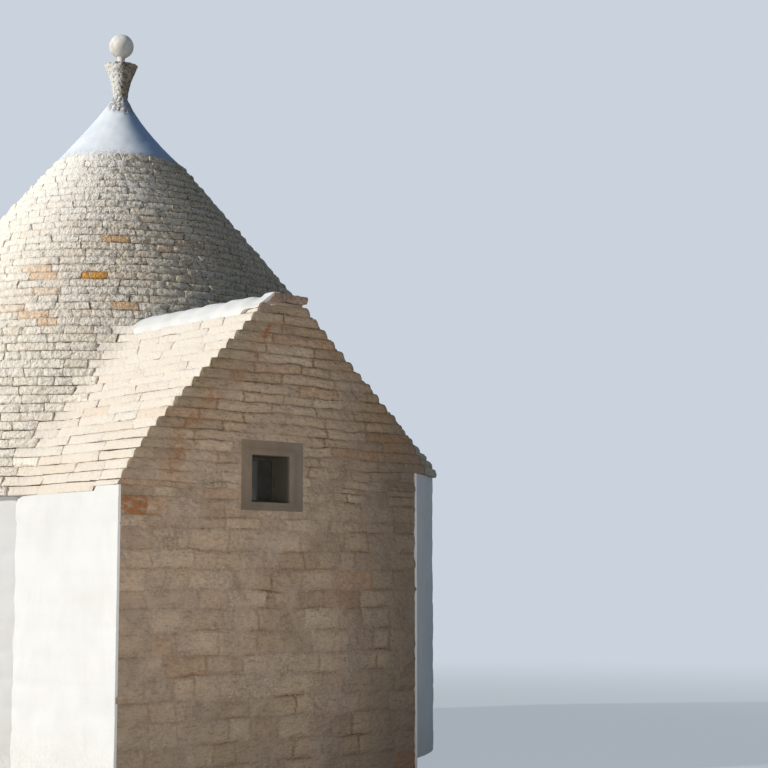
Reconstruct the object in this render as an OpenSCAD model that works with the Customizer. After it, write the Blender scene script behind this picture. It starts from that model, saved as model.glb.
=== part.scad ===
// Trullo house: a round dry-stone room under a cone of limestone slabs, with a gabled alcove
// wing on its front, lime-washed round walls, a plastered cap and a ball finial.
// Millimetres. The origin is on the cone's axis at ground level, +Z is up, the gable faces -Y.

/* [Courses] */
// Height of the underside of the lowest slab course
first_course_z = 2230; // [2130:10:2380]
// Height of one slab course
course_h = 80; // [60:1:100]
// Width of a slab course, from its outer face to the masonry behind it
skin = 160; // [120:5:220]
// How far the lowest slabs stand out past the wall
eave = 80; // [40:5:120]

/* [Cone] */
// Number of courses on the cone
cone_courses = 43; // [39:1:45]
// Radius of the cone at the lowest course
cone_foot_r = 3459; // [3340:1:3590]
// Radius of the cone at the top of its courses
cone_top_r = 618; // [500:1:760]
// Outward bulge of the cone's side at half height
cone_belly = 25; // [0:5:60]

/* [Round wall] */
// How much smaller the round wall's radius is than the cone's at its foot
wall_inset = 179; // [160:1:210]
// Distance from the cone's axis to the wall's own centre, towards -X
wall_shift = 240; // [200:5:280]
// Mean thickness of the round wall
wall_t = 1080; // [980:10:1200]

/* [Vault] */
// Depth of the vault's foot below the lowest slab course
vault_drop = 280; // [180:10:480]
// Height from the vault's crown to the top of the cone's courses
vault_cover = 470; // [400:10:600]
// Radius of the vault just under the closing slab
vault_crown_r = 250; // [150:10:350]
// Outward bulge of the vault at half height
vault_belly = 250; // [100:10:300]
// Thickness of the closing slab
closing_slab_h = 110; // [80:5:160]
// How far the closing slab bears on the last ring of the vault
closing_slab_bearing = 180; // [120:10:220]

/* [Gabled wing] */
// Width of the wing over its side walls
wing_w = 2960; // [2800:10:3100]
// Distance from the cone's axis to the wing's middle, towards -X
wing_shift = 950; // [900:5:1000]
// How far the gable stands out past the foot of the cone
wing_reach = 321; // [260:1:400]
// Length of the wing's roof, from the gable to where it ends inside the cone
wing_depth = 2280; // [2200:10:2350]
// Thickness of the gable wall and of the wing's side walls
wing_wall = 560; // [450:10:620]
// Number of courses from the lowest to the ridge
wing_courses = 19; // [17:1:20]
// Number of courses that the right-hand eave starts above the left-hand one
right_eave_course = 3; // [3:1:4]
// How far the lowest left-hand slabs stand out past the wing's wall
left_eave = 10; // [5:5:40]
// How far the lowest right-hand slabs stand out past the wing's wall
right_eave = 120; // [80:5:140]
// Distance from the wing's middle to the ridge, towards +X
ridge_shift = 55; // [20:5:90]
// Width of the ridge capping
capping_w = 390; // [340:5:430]
// How full the left-hand slope is below half height
slope_left_belly = 790; // [0:10:1200]
// How full the right-hand slope is below half height
slope_right_belly = 700; // [0:10:1200]
// Height of the ridge capping
capping_h = 80; // [50:5:110]
// Length of the stretch at the gable where the lowest left slab is thinner
eave_notch = 330; // [250:10:400]
// How much thinner the lowest left slab is at the gable
eave_notch_h = 35; // [25:1:50]
// Length of the cap stone on the gable's top
capstone_l = 150; // [100:10:250]

/* [Alcove] */
// Height of the springing of the alcove's vault above the lowest slab course
alcove_spring = 20; // [10:5:60]
// Rise of the alcove's segmental vault above its springing
alcove_rise = 400; // [340:10:460]

/* [Gable window] */
// Distance from the wing's middle to the window's middle, towards -X
window_shift = 72; // [0:2:150]
// Clear width of the window
window_w = 373; // [300:1:450]
// Clear height of the window
window_h = 363; // [300:1:420]
// Depth of the window's sill below the lowest slab course
sill_drop = 53; // [0:1:100]
// Width of the dressed surround at the left of the window
surround_left = 105; // [80:5:140]
// Width of the dressed surround at the right of the window
surround_right = 135; // [80:5:160]
// Height of the stone over the window
surround_top = 115; // [80:5:140]
// Height of the stone under the window
surround_foot = 67; // [50:1:100]
// Depth of the surround's stones
surround_depth = 260; // [220:10:320]
// How far the window frame is set back from the wall's face
window_setback = 200; // [150:5:220]
// Width of the window frame's bars as seen from the front
window_bar = 24; // [18:1:32]
// Thickness of the window frame, front to back
window_bar_depth = 40; // [30:2:50]
// Thickness of the glass
glass_t = 6; // [4:1:8]

/* [Doorway] */
// Clear width between the doorway's stone jambs
door_w = 900; // [800:10:1000]
// Depth of the doorway's top below the lowest slab course
door_drop = 250; // [200:10:330]
// Width of each stone jamb
door_jamb_w = 170; // [140:10:220]
// Depth of the stone jambs and lintel
door_jamb_depth = 350; // [300:10:420]
// How far the doorway's stones stand proud of the wall
door_proud = 20; // [10:5:40]
// Height of the stone lintel
door_lintel_h = 180; // [150:10:220]
// Height of the threshold's top
threshold_h = 100; // [85:5:120]
// Width of the timber door frame's posts
door_post = 60; // [45:5:70]
// Depth of the timber door frame
door_post_depth = 70; // [60:5:90]
// Thickness of the plank door
door_leaf_t = 45; // [35:5:55]

/* [Floor] */
// Thickness of the stone floor
floor_t = 80; // [60:5:100]

/* [Pinnacle] */
// Height of the plaster cap
cap_h = 720; // [680:5:760]
// How far the plaster cap laps past the top slab course
cap_lap = 22; // [10:1:40]
// Radius of the neck
neck_r = 72; // [60:1:85]
// Radius of the cup's rim
cup_r = 172; // [155:1:190]
// Height of the cup
cup_h = 350; // [320:5:380]
// Radius of the link between the cup and the ball
link_r = 35; // [25:1:45]
// Visible height of the link
link_h = 62; // [40:1:80]
// Radius of the ball
ball_r = 123; // [110:1:135]

/* [Hidden] */
$fn = 360;

limewash = "#f4f1ea";
slab = "#d9cdb4";
rubble = "#bfa98a";
inner_stone = "#cbbd9f";
timber = "#5b4633";

// Spare length by which a cutting solid runs past what it cuts
spare = 10;
// Reach of the flat wedges that cut the plan by angle, and how many triangles make up a wedge
reach = 3 * cone_foot_r;
wedge_parts = 8;
// Angle of each of the round wall's segments
part_angle = 45;
// Number of bands that the cone's full courses are grouped in
bands = 5;
// Number of straight parts in the sides of each outline
side_parts = 4;
vault_parts = 10;
cap_parts = 8;
cup_parts = 6;
// Powers that set how fast a wing slope flattens, the cap hollows and the cup flares
slope_power = 2.5;
cap_power = 1.1;
cup_power = 1.6;
// Share of the cup's height that flares, below its bevelled rim
flare = 0.95;

cone_top_z = first_course_z + cone_courses * course_h;
wing_top_z = first_course_z + wing_courses * course_h;
right_eave_z = first_course_z + right_eave_course * course_h;
wall_r = cone_foot_r - wall_inset;
eave_r = wall_r + eave;
room_r = wall_r - wall_t;
vault_spring_z = first_course_z - vault_drop;
vault_crown_z = cone_top_z - vault_cover;
// The lowest courses run out where the climbing eave passes them, up to the first full ring
eave_courses = min([for (i = [0:cone_courses]) if (cone_r(i) <= eave_r - wall_shift) i]);
cone_bands = [for (k = [0:bands]) round(eave_courses + (cone_courses - eave_courses) * k / bands)];

gable_y = -(cone_foot_r + wing_reach);
gable_back_y = gable_y + wing_wall;
wing_back_y = gable_y + wing_depth;
wing_left = -wing_shift - wing_w / 2;
wing_right = -wing_shift + wing_w / 2;
alcove_left = wing_left + wing_wall;
alcove_right = wing_right - wing_wall;
alcove_w = alcove_right - alcove_left;
alcove_r = arch_radius(alcove_w, alcove_rise);
ridge_x = ridge_shift - wing_shift;
slope_left_foot = wing_left - left_eave;
slope_right_foot = wing_right + right_eave;
slope_left_top = ridge_x - capping_w / 2;
slope_right_top = ridge_x + capping_w / 2;
capping_r = arch_radius(capping_w, capping_h);
// The stone under the thinner slab reaches in past the lowest slab course
notch_x = left_x(1) + skin;
notch_top_z = first_course_z + eave_notch_h;

window_x = -wing_shift - window_shift;
window_x0 = window_x - window_w / 2;
window_x1 = window_x + window_w / 2;
window_z = first_course_z - sill_drop;
window_top_z = window_z + window_h;
surround_x0 = window_x0 - surround_left;
surround_x1 = window_x1 + surround_right;
surround_z0 = window_z - surround_foot;
surround_z1 = window_top_z + surround_top;
peak_z = course_z(ceil((surround_z1 - first_course_z) / course_h));

door_h = first_course_z - door_drop;
door_face_y = wall_r + door_proud;
door_back_y = door_face_y - door_jamb_depth;

neck_z = cone_top_z + cap_h;
cap_foot_r = cone_top_r + cap_lap;
link_z = neck_z + cup_h;
ball_z = link_z + link_h + ball_r;

// Radius of the arc that rises by h over a width of w
function arch_radius(w, h) = (w * w / 4 + h * h) / (2 * h);

// Height of the underside of course i
function course_z(i) = first_course_z + i * course_h;

// Outer radius of the cone's course i
function cone_r(i) = let (s = i / cone_courses)
  cone_foot_r + (cone_top_r - cone_foot_r) * s + 4 * cone_belly * s * (1 - s);

// Shape of a slope that is fullest a little above its eave
function fullness(s) = s * pow(1 - s, slope_power);

// Left edge of the wing's course i
function left_x(i) = let (s = i / wing_courses)
  slope_left_foot + (slope_left_top - slope_left_foot) * s - slope_left_belly * fullness(s);

// Right edge of the wing's course i
function right_x(i) = let (s = (i - right_eave_course) / (wing_courses - right_eave_course))
  slope_right_foot + (slope_right_top - slope_right_foot) * s + slope_right_belly * fullness(s);

// Angle from +X within which course i is missing, because the climbing eave has passed it
function missing_angle(i) = let (r = cone_r(i))
  acos(min(1, (eave_r * eave_r - r * r - wall_shift * wall_shift) / (2 * wall_shift * r)));

// Flat wedge between two angles, as a fan of triangles
module wedge(a0, a1) {
  polygon(concat([[0, 0]],
    [for (k = [0:wedge_parts]) let (a = a0 + (a1 - a0) * k / wedge_parts) reach * [cos(a), sin(a)]]));
}

// Carries a flat outline in X and Z from y0 to y1
module along_y(y0, y1) {
  translate([0, y1, 0]) rotate([90, 0, 0]) linear_extrude(y1 - y0) children();
}

// Box between two corners
module box(low, high) {
  translate(low) cube(high - low);
}

// The space of the round room, with its corbelled vault
module room_space() {
  rotate_extrude() polygon(concat(
    [[0, -spare], [room_r, -spare], [room_r, vault_spring_z]],
    [for (k = [1:vault_parts]) let (s = k / vault_parts) [
      room_r + (vault_crown_r - room_r) * s + 4 * vault_belly * s * (1 - s),
      vault_spring_z + (vault_crown_z - vault_spring_z) * s
    ]],
    [[0, vault_crown_z]]
  ));
}

// The space of the alcove, a low barrel vault that opens into the room
module alcove_space() {
  crown_z = first_course_z + alcove_spring + alcove_rise;
  centre_z = crown_z - alcove_r;
  along_y(gable_back_y, -room_r / 2) {
    translate([alcove_left, -spare]) square([alcove_w, centre_z + spare]);
    intersection() {
      translate([alcove_left, 0]) square([alcove_w, crown_z]);
      translate([-wing_shift, centre_z]) circle(alcove_r);
    }
  }
}

// The space of the doorway, behind its stone jambs
module doorway_space() {
  box([-door_w / 2, room_r / 2, -spare], [door_w / 2, door_face_y + spare, door_h]);
}

// The block of dressed stones round the doorway
module doorway_stones() {
  half = door_w / 2 + door_jamb_w;
  box([-half, door_back_y, -spare], [half, door_face_y + spare, door_h + door_lintel_h]);
}

// Plan of the round wall's outer face
module wall_plan() {
  intersection() {
    translate([-wall_shift, 0]) circle(wall_r);
    circle(cone_foot_r - eave);
  }
}

// The part of the roof's lowest courses that belongs to the wall, because the eave climbs
module climbing_wall() {
  for (i = [0:eave_courses - 1])
    translate([0, 0, course_z(i)]) linear_extrude(course_h) wedge(-missing_angle(i), missing_angle(i));
}

// Everything inside the slab skin of the cone
module cone_core() {
  bands = concat([0], cone_bands);
  rotate_extrude() polygon(concat(
    [[0, first_course_z]],
    [for (i = bands) [cone_r(i) - skin, course_z(i)]],
    [[0, cone_top_z]]
  ));
}

// Slab courses of the cone from one course up to another, stepped outside
module cone_skin(from, to) {
  rotate_extrude() polygon(concat(
    [for (i = [from:to - 1]) each [[cone_r(i), course_z(i)], [cone_r(i), course_z(i + 1)]]],
    [[cone_r(to) - skin, course_z(to)], [cone_r(from) - skin, course_z(from)]]
  ));
}

// Outline of the whole wing roof in X and Z, stepped by course
module wing_outline() {
  polygon(concat(
    [[wing_right, first_course_z]],
    [for (i = [0:wing_courses - 1]) each [[left_x(i), course_z(i)], [left_x(i), course_z(i + 1)]]],
    [for (i = [wing_courses - 1:-1:right_eave_course])
      each [[right_x(i), course_z(i + 1)], [right_x(i), course_z(i)]]],
    [[wing_right, right_eave_z]]
  ));
}

// Outline of what the wing's two slopes of slabs lie on
module wing_core_outline() {
  lefts = [for (k = [0:side_parts]) wing_courses * k / side_parts];
  rights = [for (k = [side_parts:-1:0])
    right_eave_course + (wing_courses - right_eave_course) * k / side_parts];
  polygon(concat(
    [[wing_right, first_course_z], [alcove_left, first_course_z]],
    [for (i = lefts) [left_x(i) + skin, course_z(i)]],
    [for (i = rights) [right_x(i) - skin, course_z(i)]],
    [[wing_right, right_eave_z]]
  ));
}

// The wing's roof with its slabs, from the gable back into the cone
module wing_roof_space() {
  along_y(gable_y - spare, wing_back_y) wing_outline();
}

// The round wall in one piece, up to the climbing eave
module round_wall() {
  difference() {
    union() {
      linear_extrude(first_course_z) wall_plan();
      intersection() {
        climbing_wall();
        translate([0, 0, first_course_z]) linear_extrude(eave_courses * course_h) wall_plan();
      }
    }
    room_space();
    alcove_space();
    doorway_space();
    doorway_stones();
    box([wing_left, gable_y - spare, -spare], [wing_right, wing_back_y, wing_top_z]);
  }
}

module wall_segment(k) {
  start = -90 + (k - 1) * part_angle;
  color(limewash) difference() {
    intersection() {
      round_wall();
      translate([0, 0, -spare]) linear_extrude(wing_top_z) wedge(start, start + part_angle);
    }
    over_doorway_space();
  }
}

// The stretch of wall that bridges the doorway
module over_doorway_space() {
  half = door_w / 2 + door_jamb_w;
  box([-half, room_r / 2, door_h], [half, door_face_y + spare, wing_top_z]);
}

module wall_over_doorway() {
  color(limewash) intersection() {
    round_wall();
    over_doorway_space();
  }
}

module floor_slab() {
  color(inner_stone) {
    cylinder(h = floor_t, r = room_r);
    box([alcove_left, gable_back_y, 0], [alcove_right, -room_r / 2, floor_t]);
    box([-door_w / 2, room_r / 2, 0], [door_w / 2, door_back_y, floor_t]);
  }
}

module door_jambs() {
  color(inner_stone) for (side = [-1, 1])
    translate([side * (door_w + door_jamb_w) / 2 - door_jamb_w / 2, door_back_y, 0])
      cube([door_jamb_w, door_jamb_depth, door_h]);
}

module door_lintel() {
  width = door_w + 2 * door_jamb_w;
  color(inner_stone) translate([-width / 2, door_back_y, door_h])
    cube([width, door_jamb_depth, door_lintel_h]);
}

module door_threshold() {
  color(inner_stone) translate([-door_w / 2, door_back_y, 0])
    cube([door_w, door_jamb_depth, threshold_h]);
}

module door_frame() {
  back = door_back_y - door_post_depth;
  color(timber) difference() {
    box([-door_w / 2, back, floor_t], [door_w / 2, door_back_y, door_h]);
    box([-door_w / 2 + door_post, back - spare, 0],
        [door_w / 2 - door_post, door_back_y + spare, door_h - door_post]);
  }
}

module door_leaf() {
  front = door_back_y - door_post_depth;
  width = door_w - door_post;
  clearance = 8;
  color(timber)
    box([-door_w / 2, front - width, floor_t + clearance],
        [-door_w / 2 + door_leaf_t, front, door_h - door_post]);
}

// The gable's masonry in one piece, with the seats for the window's dressed stones
module gable_masonry() {
  difference() {
    union() {
      along_y(gable_y, gable_back_y) {
        translate([wing_left, 0]) square([wing_w, first_course_z]);
        wing_core_outline();
      }
      notch_space();
    }
    box([surround_x0, gable_y - spare, surround_z0], [surround_x1, gable_y + surround_depth, surround_z1]);
    box([window_x0, gable_y - spare, window_z], [window_x1, gable_back_y + spare, window_top_z]);
  }
}

// The corner of the gable that reaches up under the thinner slab
module notch_space() {
  box([wing_left, gable_y, first_course_z], [notch_x, gable_y + eave_notch, notch_top_z]);
}

// The gable up to the window's sill
module gable_wall() {
  color(rubble) intersection() {
    gable_masonry();
    box([wing_left, gable_y, 0], [wing_right, gable_back_y, window_z]);
  }
}

// The gable at one side of the window, between two heights that clear the surround
module gable_flank(x0, x1) {
  color(rubble) intersection() {
    gable_masonry();
    box([x0, gable_y, window_z], [x1, gable_back_y, peak_z]);
  }
}

// The gable over the window, up to the ridge
module gable_peak() {
  color(rubble) intersection() {
    gable_masonry();
    union() {
      box([wing_left, gable_y, peak_z], [wing_right, gable_back_y, wing_top_z]);
      box([window_x0, gable_y, window_top_z], [window_x1, gable_back_y, peak_z]);
    }
  }
}

module wing_wall_left() {
  color(limewash) difference() {
    box([wing_left, gable_back_y, 0], [alcove_left, wing_back_y, first_course_z]);
    room_space();
  }
}

module wing_wall_right() {
  color(limewash) difference() {
    right_wall_block();
    room_space();
  }
}

module right_wall_block() {
  box([alcove_right, gable_back_y, 0], [wing_right, wing_back_y, right_eave_z]);
}

module alcove_vault() {
  color(inner_stone) difference() {
    along_y(gable_back_y, wing_back_y) wing_core_outline();
    cone_core();
    alcove_space();
    right_wall_block();
  }
}

// One slope of the wing, as slabs from the gable back to the cone's masonry
module wing_slope(x0, x1) {
  difference() {
    intersection() {
      along_y(gable_y, wing_back_y) difference() {
        wing_outline();
        wing_core_outline();
      }
      box([x0, gable_y, first_course_z], [x1, wing_back_y, wing_top_z]);
    }
    cone_core();
  }
}

module wing_roof_left() {
  color(slab) difference() {
    wing_slope(slope_left_foot - skin, ridge_x);
    box([slope_left_foot - skin, gable_y - spare, first_course_z - spare],
        [notch_x, gable_y + eave_notch, notch_top_z]);
  }
}

module wing_roof_right() {
  color(slab) wing_slope(ridge_x, slope_right_foot + skin);
}

module ridge_capping() {
  color(limewash) difference() {
    along_y(gable_y + capstone_l, wing_back_y) intersection() {
      translate([slope_left_top, wing_top_z]) square([capping_w, capping_h]);
      translate([ridge_x, wing_top_z + capping_h - capping_r]) circle(capping_r);
    }
    cone_core();
    cone_skin(eave_courses, cone_courses);
  }
}

module gable_capstone() {
  color(inner_stone)
    box([slope_left_top, gable_y, wing_top_z],
        [slope_right_top, gable_y + capstone_l, wing_top_z + capping_h]);
}

module window_lintel() {
  color(limewash)
    box([surround_x0, gable_y, window_top_z], [surround_x1, gable_y + surround_depth, surround_z1]);
}

module window_sill() {
  color(limewash)
    box([surround_x0, gable_y, surround_z0], [surround_x1, gable_y + surround_depth, window_z]);
}

module window_jambs() {
  color(limewash) {
    box([surround_x0, gable_y, window_z], [window_x0, gable_y + surround_depth, window_top_z]);
    box([window_x1, gable_y, window_z], [surround_x1, gable_y + surround_depth, window_top_z]);
  }
}

// The window between its bars, from one depth behind the gable's face to another
module window_panel(front, back) {
  box([window_x0 + window_bar, gable_y + front, window_z + window_bar],
      [window_x1 - window_bar, gable_y + back, window_top_z - window_bar]);
}

module window_frame() {
  back = window_setback + window_bar_depth;
  color(timber) difference() {
    box([window_x0, gable_y + window_setback, window_z], [window_x1, gable_y + back, window_top_z]);
    window_panel(window_setback - spare, back + spare);
  }
}

module window_glass() {
  front = window_setback + (window_bar_depth - glass_t) / 2;
  color("#2b3034") window_panel(front, front + glass_t);
}

module cone_vault() {
  color(inner_stone) difference() {
    cone_core();
    room_space();
    alcove_space();
    climbing_wall();
    right_wall_block();
    box([wing_left, gable_y - spare, 0], [wing_right, gable_back_y, wing_top_z]);
    closing_slab_space();
  }
}

module closing_slab_space() {
  translate([0, 0, vault_crown_z]) cylinder(h = closing_slab_h, r = vault_crown_r + closing_slab_bearing);
}

module closing_slab() {
  color(inner_stone) closing_slab_space();
}

// The lowest courses of the cone, each running out where the climbing eave passes it
module eaves_courses() {
  color(slab) difference() {
    for (i = [0:eave_courses - 1]) difference() {
      cone_skin(i, i + 1);
      translate([0, 0, course_z(i) - spare]) linear_extrude(course_h + 2 * spare)
        wedge(-missing_angle(i), missing_angle(i));
    }
    cone_core();
    wing_roof_space();
  }
}

module cone_courses(k) {
  color(slab) difference() {
    cone_skin(cone_bands[k - 1], cone_bands[k]);
    if (course_z(cone_bands[k - 1]) < wing_top_z) wing_roof_space();
  }
}

module plaster_cap() {
  color(limewash) rotate_extrude() polygon(concat(
    [[0, cone_top_z]],
    [for (k = [0:cap_parts]) let (s = k / cap_parts)
      [neck_r + (cap_foot_r - neck_r) * pow(1 - s, cap_power), cone_top_z + cap_h * s]],
    [[0, neck_z]]
  ));
}

module pinnacle_cup() {
  flare_h = flare * cup_h;
  color(inner_stone) rotate_extrude() polygon(concat(
    [[0, neck_z]],
    [for (k = [0:cup_parts]) let (s = k / cup_parts)
      [neck_r + (cup_r - neck_r) * pow(s, cup_power), neck_z + flare_h * s]],
    [[cup_r - (cup_h - flare_h) / 2, link_z], [0, link_z]]
  ));
}

module pinnacle_ball() {
  color(limewash) {
    translate([0, 0, link_z]) cylinder(h = link_h + ball_r / 2, r = link_r);
    translate([0, 0, ball_z]) sphere(ball_r);
  }
}

floor_slab();  // floor
for (k = [1:7])
  wall_segment(k);
wall_over_doorway();
door_jambs();
door_lintel();
door_threshold();
door_frame();
door_leaf();
gable_wall();
gable_flank(wing_left, window_x0);  // gable_flank_left
gable_flank(window_x1, wing_right);  // gable_flank_right
gable_peak();
wing_wall_left();
wing_wall_right();
alcove_vault();
wing_roof_left();
wing_roof_right();
ridge_capping();
gable_capstone();
window_lintel();
window_sill();
window_jambs();
window_frame();
window_glass();
cone_vault();
closing_slab();
eaves_courses();
for (k = [1:5])
  cone_courses(k);
plaster_cap();
pinnacle_cup();
pinnacle_ball();
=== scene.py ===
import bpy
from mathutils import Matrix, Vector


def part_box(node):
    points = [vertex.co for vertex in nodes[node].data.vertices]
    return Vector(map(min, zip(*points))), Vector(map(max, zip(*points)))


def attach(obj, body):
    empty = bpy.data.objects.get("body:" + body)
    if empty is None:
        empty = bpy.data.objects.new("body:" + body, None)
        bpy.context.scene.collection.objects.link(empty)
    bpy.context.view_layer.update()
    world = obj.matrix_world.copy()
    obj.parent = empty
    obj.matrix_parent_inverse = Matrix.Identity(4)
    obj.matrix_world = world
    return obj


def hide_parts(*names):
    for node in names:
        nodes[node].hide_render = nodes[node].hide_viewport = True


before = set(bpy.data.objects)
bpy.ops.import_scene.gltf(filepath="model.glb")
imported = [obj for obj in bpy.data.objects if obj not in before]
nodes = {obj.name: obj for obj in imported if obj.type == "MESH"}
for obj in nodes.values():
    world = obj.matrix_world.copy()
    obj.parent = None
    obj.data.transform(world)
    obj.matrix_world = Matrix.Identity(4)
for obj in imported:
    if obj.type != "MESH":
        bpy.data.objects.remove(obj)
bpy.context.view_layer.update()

import math

import bmesh
import bpy
import numpy as np
from mathutils import Vector


# Floor of the room, the alcove and the doorway: flags of grey limestone, worn smooth by feet and
# laid in lime mortar in broken rows. The flags are about 45 by 30 cm.
def paint(red, green, blue):
    """A colour as it looks on the real piece, from 0 to 255, turned into the light that it throws back."""
    shares = np.array([red, green, blue]) / 255
    light = np.where(shares < 0.04045, shares / 12.92, ((shares + 0.055) / 1.055) ** 2.4)
    return (*light.tolist(), 1.0)


class Value:
    """Something that changes over a surface: a socket of a finish, with sums written as plain maths."""

    def __init__(self, finish, socket):
        self.finish = finish
        self.socket = socket

    def sum(self, operation, *others):
        """A Math node on this value and the others."""
        return self.finish.add("Math", {"operation": operation}, dict(enumerate([self, *others])))

    def __add__(self, other):
        return self.sum("ADD", other)

    def __sub__(self, other):
        return self.sum("SUBTRACT", other)

    def __rsub__(self, other):
        return self.finish.add("Math", {"operation": "SUBTRACT"}, {0: other, 1: self})

    def __mul__(self, other):
        return self.sum("MULTIPLY", other)

    def __truediv__(self, other):
        return self.sum("DIVIDE", other)

    __radd__ = __add__
    __rmul__ = __mul__

    def ease(self, low, high):
        """0 below low, 1 above high and an even curve between them."""
        settings = {"interpolation_type": "SMOOTHSTEP"}
        return self.finish.add("MapRange", settings, {"Value": self, "From Min": low, "From Max": high})


class Finish:
    """A material under construction, or the sky, with the shader that its nodes feed."""

    def __init__(self, name, kind="materials", shader="Principled BSDF", **plain):
        self.material = getattr(bpy.data, kind).new(name)
        self.material.use_nodes = True
        self.tree = self.material.node_tree
        self.shader = self.tree.nodes[shader]
        for socket, number in plain.items():
            self.shader.inputs[socket.replace("_", " ")].default_value = number

    def add(self, kind, settings, inputs, output=0):
        """One node: its settings first, then the values or links of its sockets."""
        node = self.tree.nodes.new("ShaderNode" + kind)
        for name, setting in settings.items():
            setattr(node, name, setting)
        for name, value in inputs.items():
            if isinstance(value, Value):
                self.tree.links.new(value.socket, node.inputs[name])
            else:
                node.inputs[name].default_value = value
        return Value(self, node.outputs[output])

    def place(self, upright=None):
        """Where a point is on the object, in metres, with its height multiplied."""
        where = self.add("TexCoord", {}, {}, "Object")
        return self.add("Mapping", {}, {"Vector": where, "Scale": (1, 1, upright)}) if upright else where

    def along(self, axis):
        """How far a point is along one axis of the object, in metres."""
        return self.add("SeparateXYZ", {}, {0: self.place()}, axis)

    def noise(self, scale, detail=3.0, rough=0.55, upright=None):
        """Cloudy values about 0.5, with so many clouds to the metre, and so many times more up."""
        inputs = {"Vector": self.place(upright), "Scale": scale, "Detail": detail, "Roughness": rough}
        return self.add("TexNoise", {}, inputs)

    def own(self, name):
        """A number that the mesh carries for each of its points."""
        return self.add("Attribute", {"attribute_name": name}, {}, "Fac")

    def layers(self, colour, *coats):
        """Coats of colour laid over a first one, each with the share of it that hides what is below."""
        settings = {"data_type": "RGBA", "clamp_factor": True}
        for share, coat in coats:
            below, above = (paint(*tint) if isinstance(tint, tuple) else tint for tint in (colour, coat))
            colour = self.add("Mix", settings, {0: share, 6: below, 7: above}, 2)
        return colour

    def feed(self, colour, relief=None, depth=0.0):
        """Links the colour, and small relief so many metres deep, and returns the finished material."""
        self.tree.links.new(colour.socket, self.shader.inputs["Base Color"])
        if relief:
            bump = self.add("Bump", {}, {"Strength": 1.0, "Distance": depth, "Height": relief})
            self.tree.links.new(bump.socket, self.shader.inputs["Normal"])
        return self.material


def dress(material, *names):
    """Gives CAD nodes a material."""
    for name in names:
        nodes[name].data.materials.clear()
        nodes[name].data.materials.append(material)


flags = Finish("stone_flags", Roughness=0.62)
flag_sizes = {"Scale": 1.0, "Mortar Size": 0.012, "Mortar Smooth": 0.4, "Brick Width": 0.45,
              "Row Height": 0.30, "Vector": flags.place(), "Color1": (0, 0, 0, 1),
              "Color2": (1, 1, 1, 1), "Mortar": (0, 0, 0, 1)}
flag_tone = flags.add("TexBrick", {"offset": 0.37}, flag_sizes, "Color")
flag_joint = flags.add("TexBrick", {"offset": 0.37}, flag_sizes, "Fac")
wear = flags.noise(7)
colour = flags.layers(
    (168, 160, 144), (flag_tone, (192, 182, 164)),
    (wear.ease(0.45, 0.75) * 0.5, (150, 140, 122)),
    (flag_joint, (128, 118, 100)))
dress(flags.feed(colour, wear * 0.4 - flag_joint, 0.004), "floor")


# Round wall: rubble a metre thick, whitewashed inside and out every year, so that the stones are
# only soft swells under many coats of lime. The coat outside is a skin of its own. Its top follows
# the slabs, which start higher and higher towards +X because the wall is off the cone's centre.
course_height = 0.08
first_course_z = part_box("eaves_courses")[0].z
cone_foot_radius = -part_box("eaves_courses")[0].x
cone_courses = 43
cone_top_radius = 0.618
cone_belly = 0.025
eave = 0.08
full_reach = cone_foot_radius - eave
wall_centre_x = -0.24
wall_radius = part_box("wall_segment_2")[1].x - wall_centre_x
coat_thickness = 0.004
coat_swell = 0.009
coat_cell = 0.035
coat_bed = 0.02
coat_gap = 0.002
coat_lap = 0.05


def cone_radius(course):
    """Outer radius of the cone at a course: straight from foot to top, with a little belly."""
    share = course / cone_courses
    straight = cone_foot_radius + (cone_top_radius - cone_foot_radius) * share
    return straight + 4 * cone_belly * share * (1 - share)


def wall_reach(angle):
    """Distance from the cone's axis to the round wall's face: the nearer of two circles."""
    across = wall_centre_x * np.sin(angle)
    shifted = wall_centre_x * np.cos(angle) + np.sqrt(wall_radius ** 2 - across ** 2)
    return np.minimum(shifted, full_reach)


def missing_angle(course):
    """Angle each side of +X within which a course is missing: where its circle leaves the eave's."""
    radius = cone_radius(course)
    cosine = (wall_radius + eave) ** 2 - radius ** 2 - wall_centre_x ** 2
    return math.acos(np.clip(cosine / (-2 * wall_centre_x * radius), -1, 1))


eave_courses = next(i for i in range(cone_courses) if missing_angle(i) == 0)


def eave_height(angle):
    """Height of the wall's top: one course up for each course that is missing at that angle."""
    off = np.abs(np.remainder(angle + math.pi, 2 * math.pi) - math.pi)
    return first_course_z + course_height * sum(off < missing_angle(i) for i in range(eave_courses))


def lumps(points, size, seed, waves=12):
    """Soft random swells, mostly from -1 to 1: the sum of sine waves that run in random directions."""
    draw = np.random.default_rng(seed)
    heading = draw.normal(size=(waves, 3))
    heading /= np.linalg.norm(heading, axis=1, keepdims=True)
    length = size * draw.uniform(0.7, 1.6, waves)
    phase = draw.uniform(0, 2 * math.pi, waves)
    turns = np.asarray(points) @ (heading / length[:, None]).T * 2 * math.pi + phase
    return np.sin(turns).sum(-1) * math.sqrt(2 / waves) / 1.6


def grid_faces(rows, columns, closed=(False, False)):
    """Quads between neighbours on a grid of points, rows first. A closed way also joins last to first."""
    row = np.arange(rows if closed[0] else rows - 1)[:, None]
    column = np.arange(columns if closed[1] else columns - 1)
    here, beyond = row * columns, (row + 1) % rows * columns
    after = (column + 1) % columns
    return np.stack([here + column, beyond + column, beyond + after, here + after], -1).reshape(-1, 4)


def about_axis(angle, radius, z):
    """Points round the cone's axis, from their angles, radii and heights."""
    return np.stack(np.broadcast_arrays(np.cos(angle) * radius, np.sin(angle) * radius, z), -1)


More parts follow.
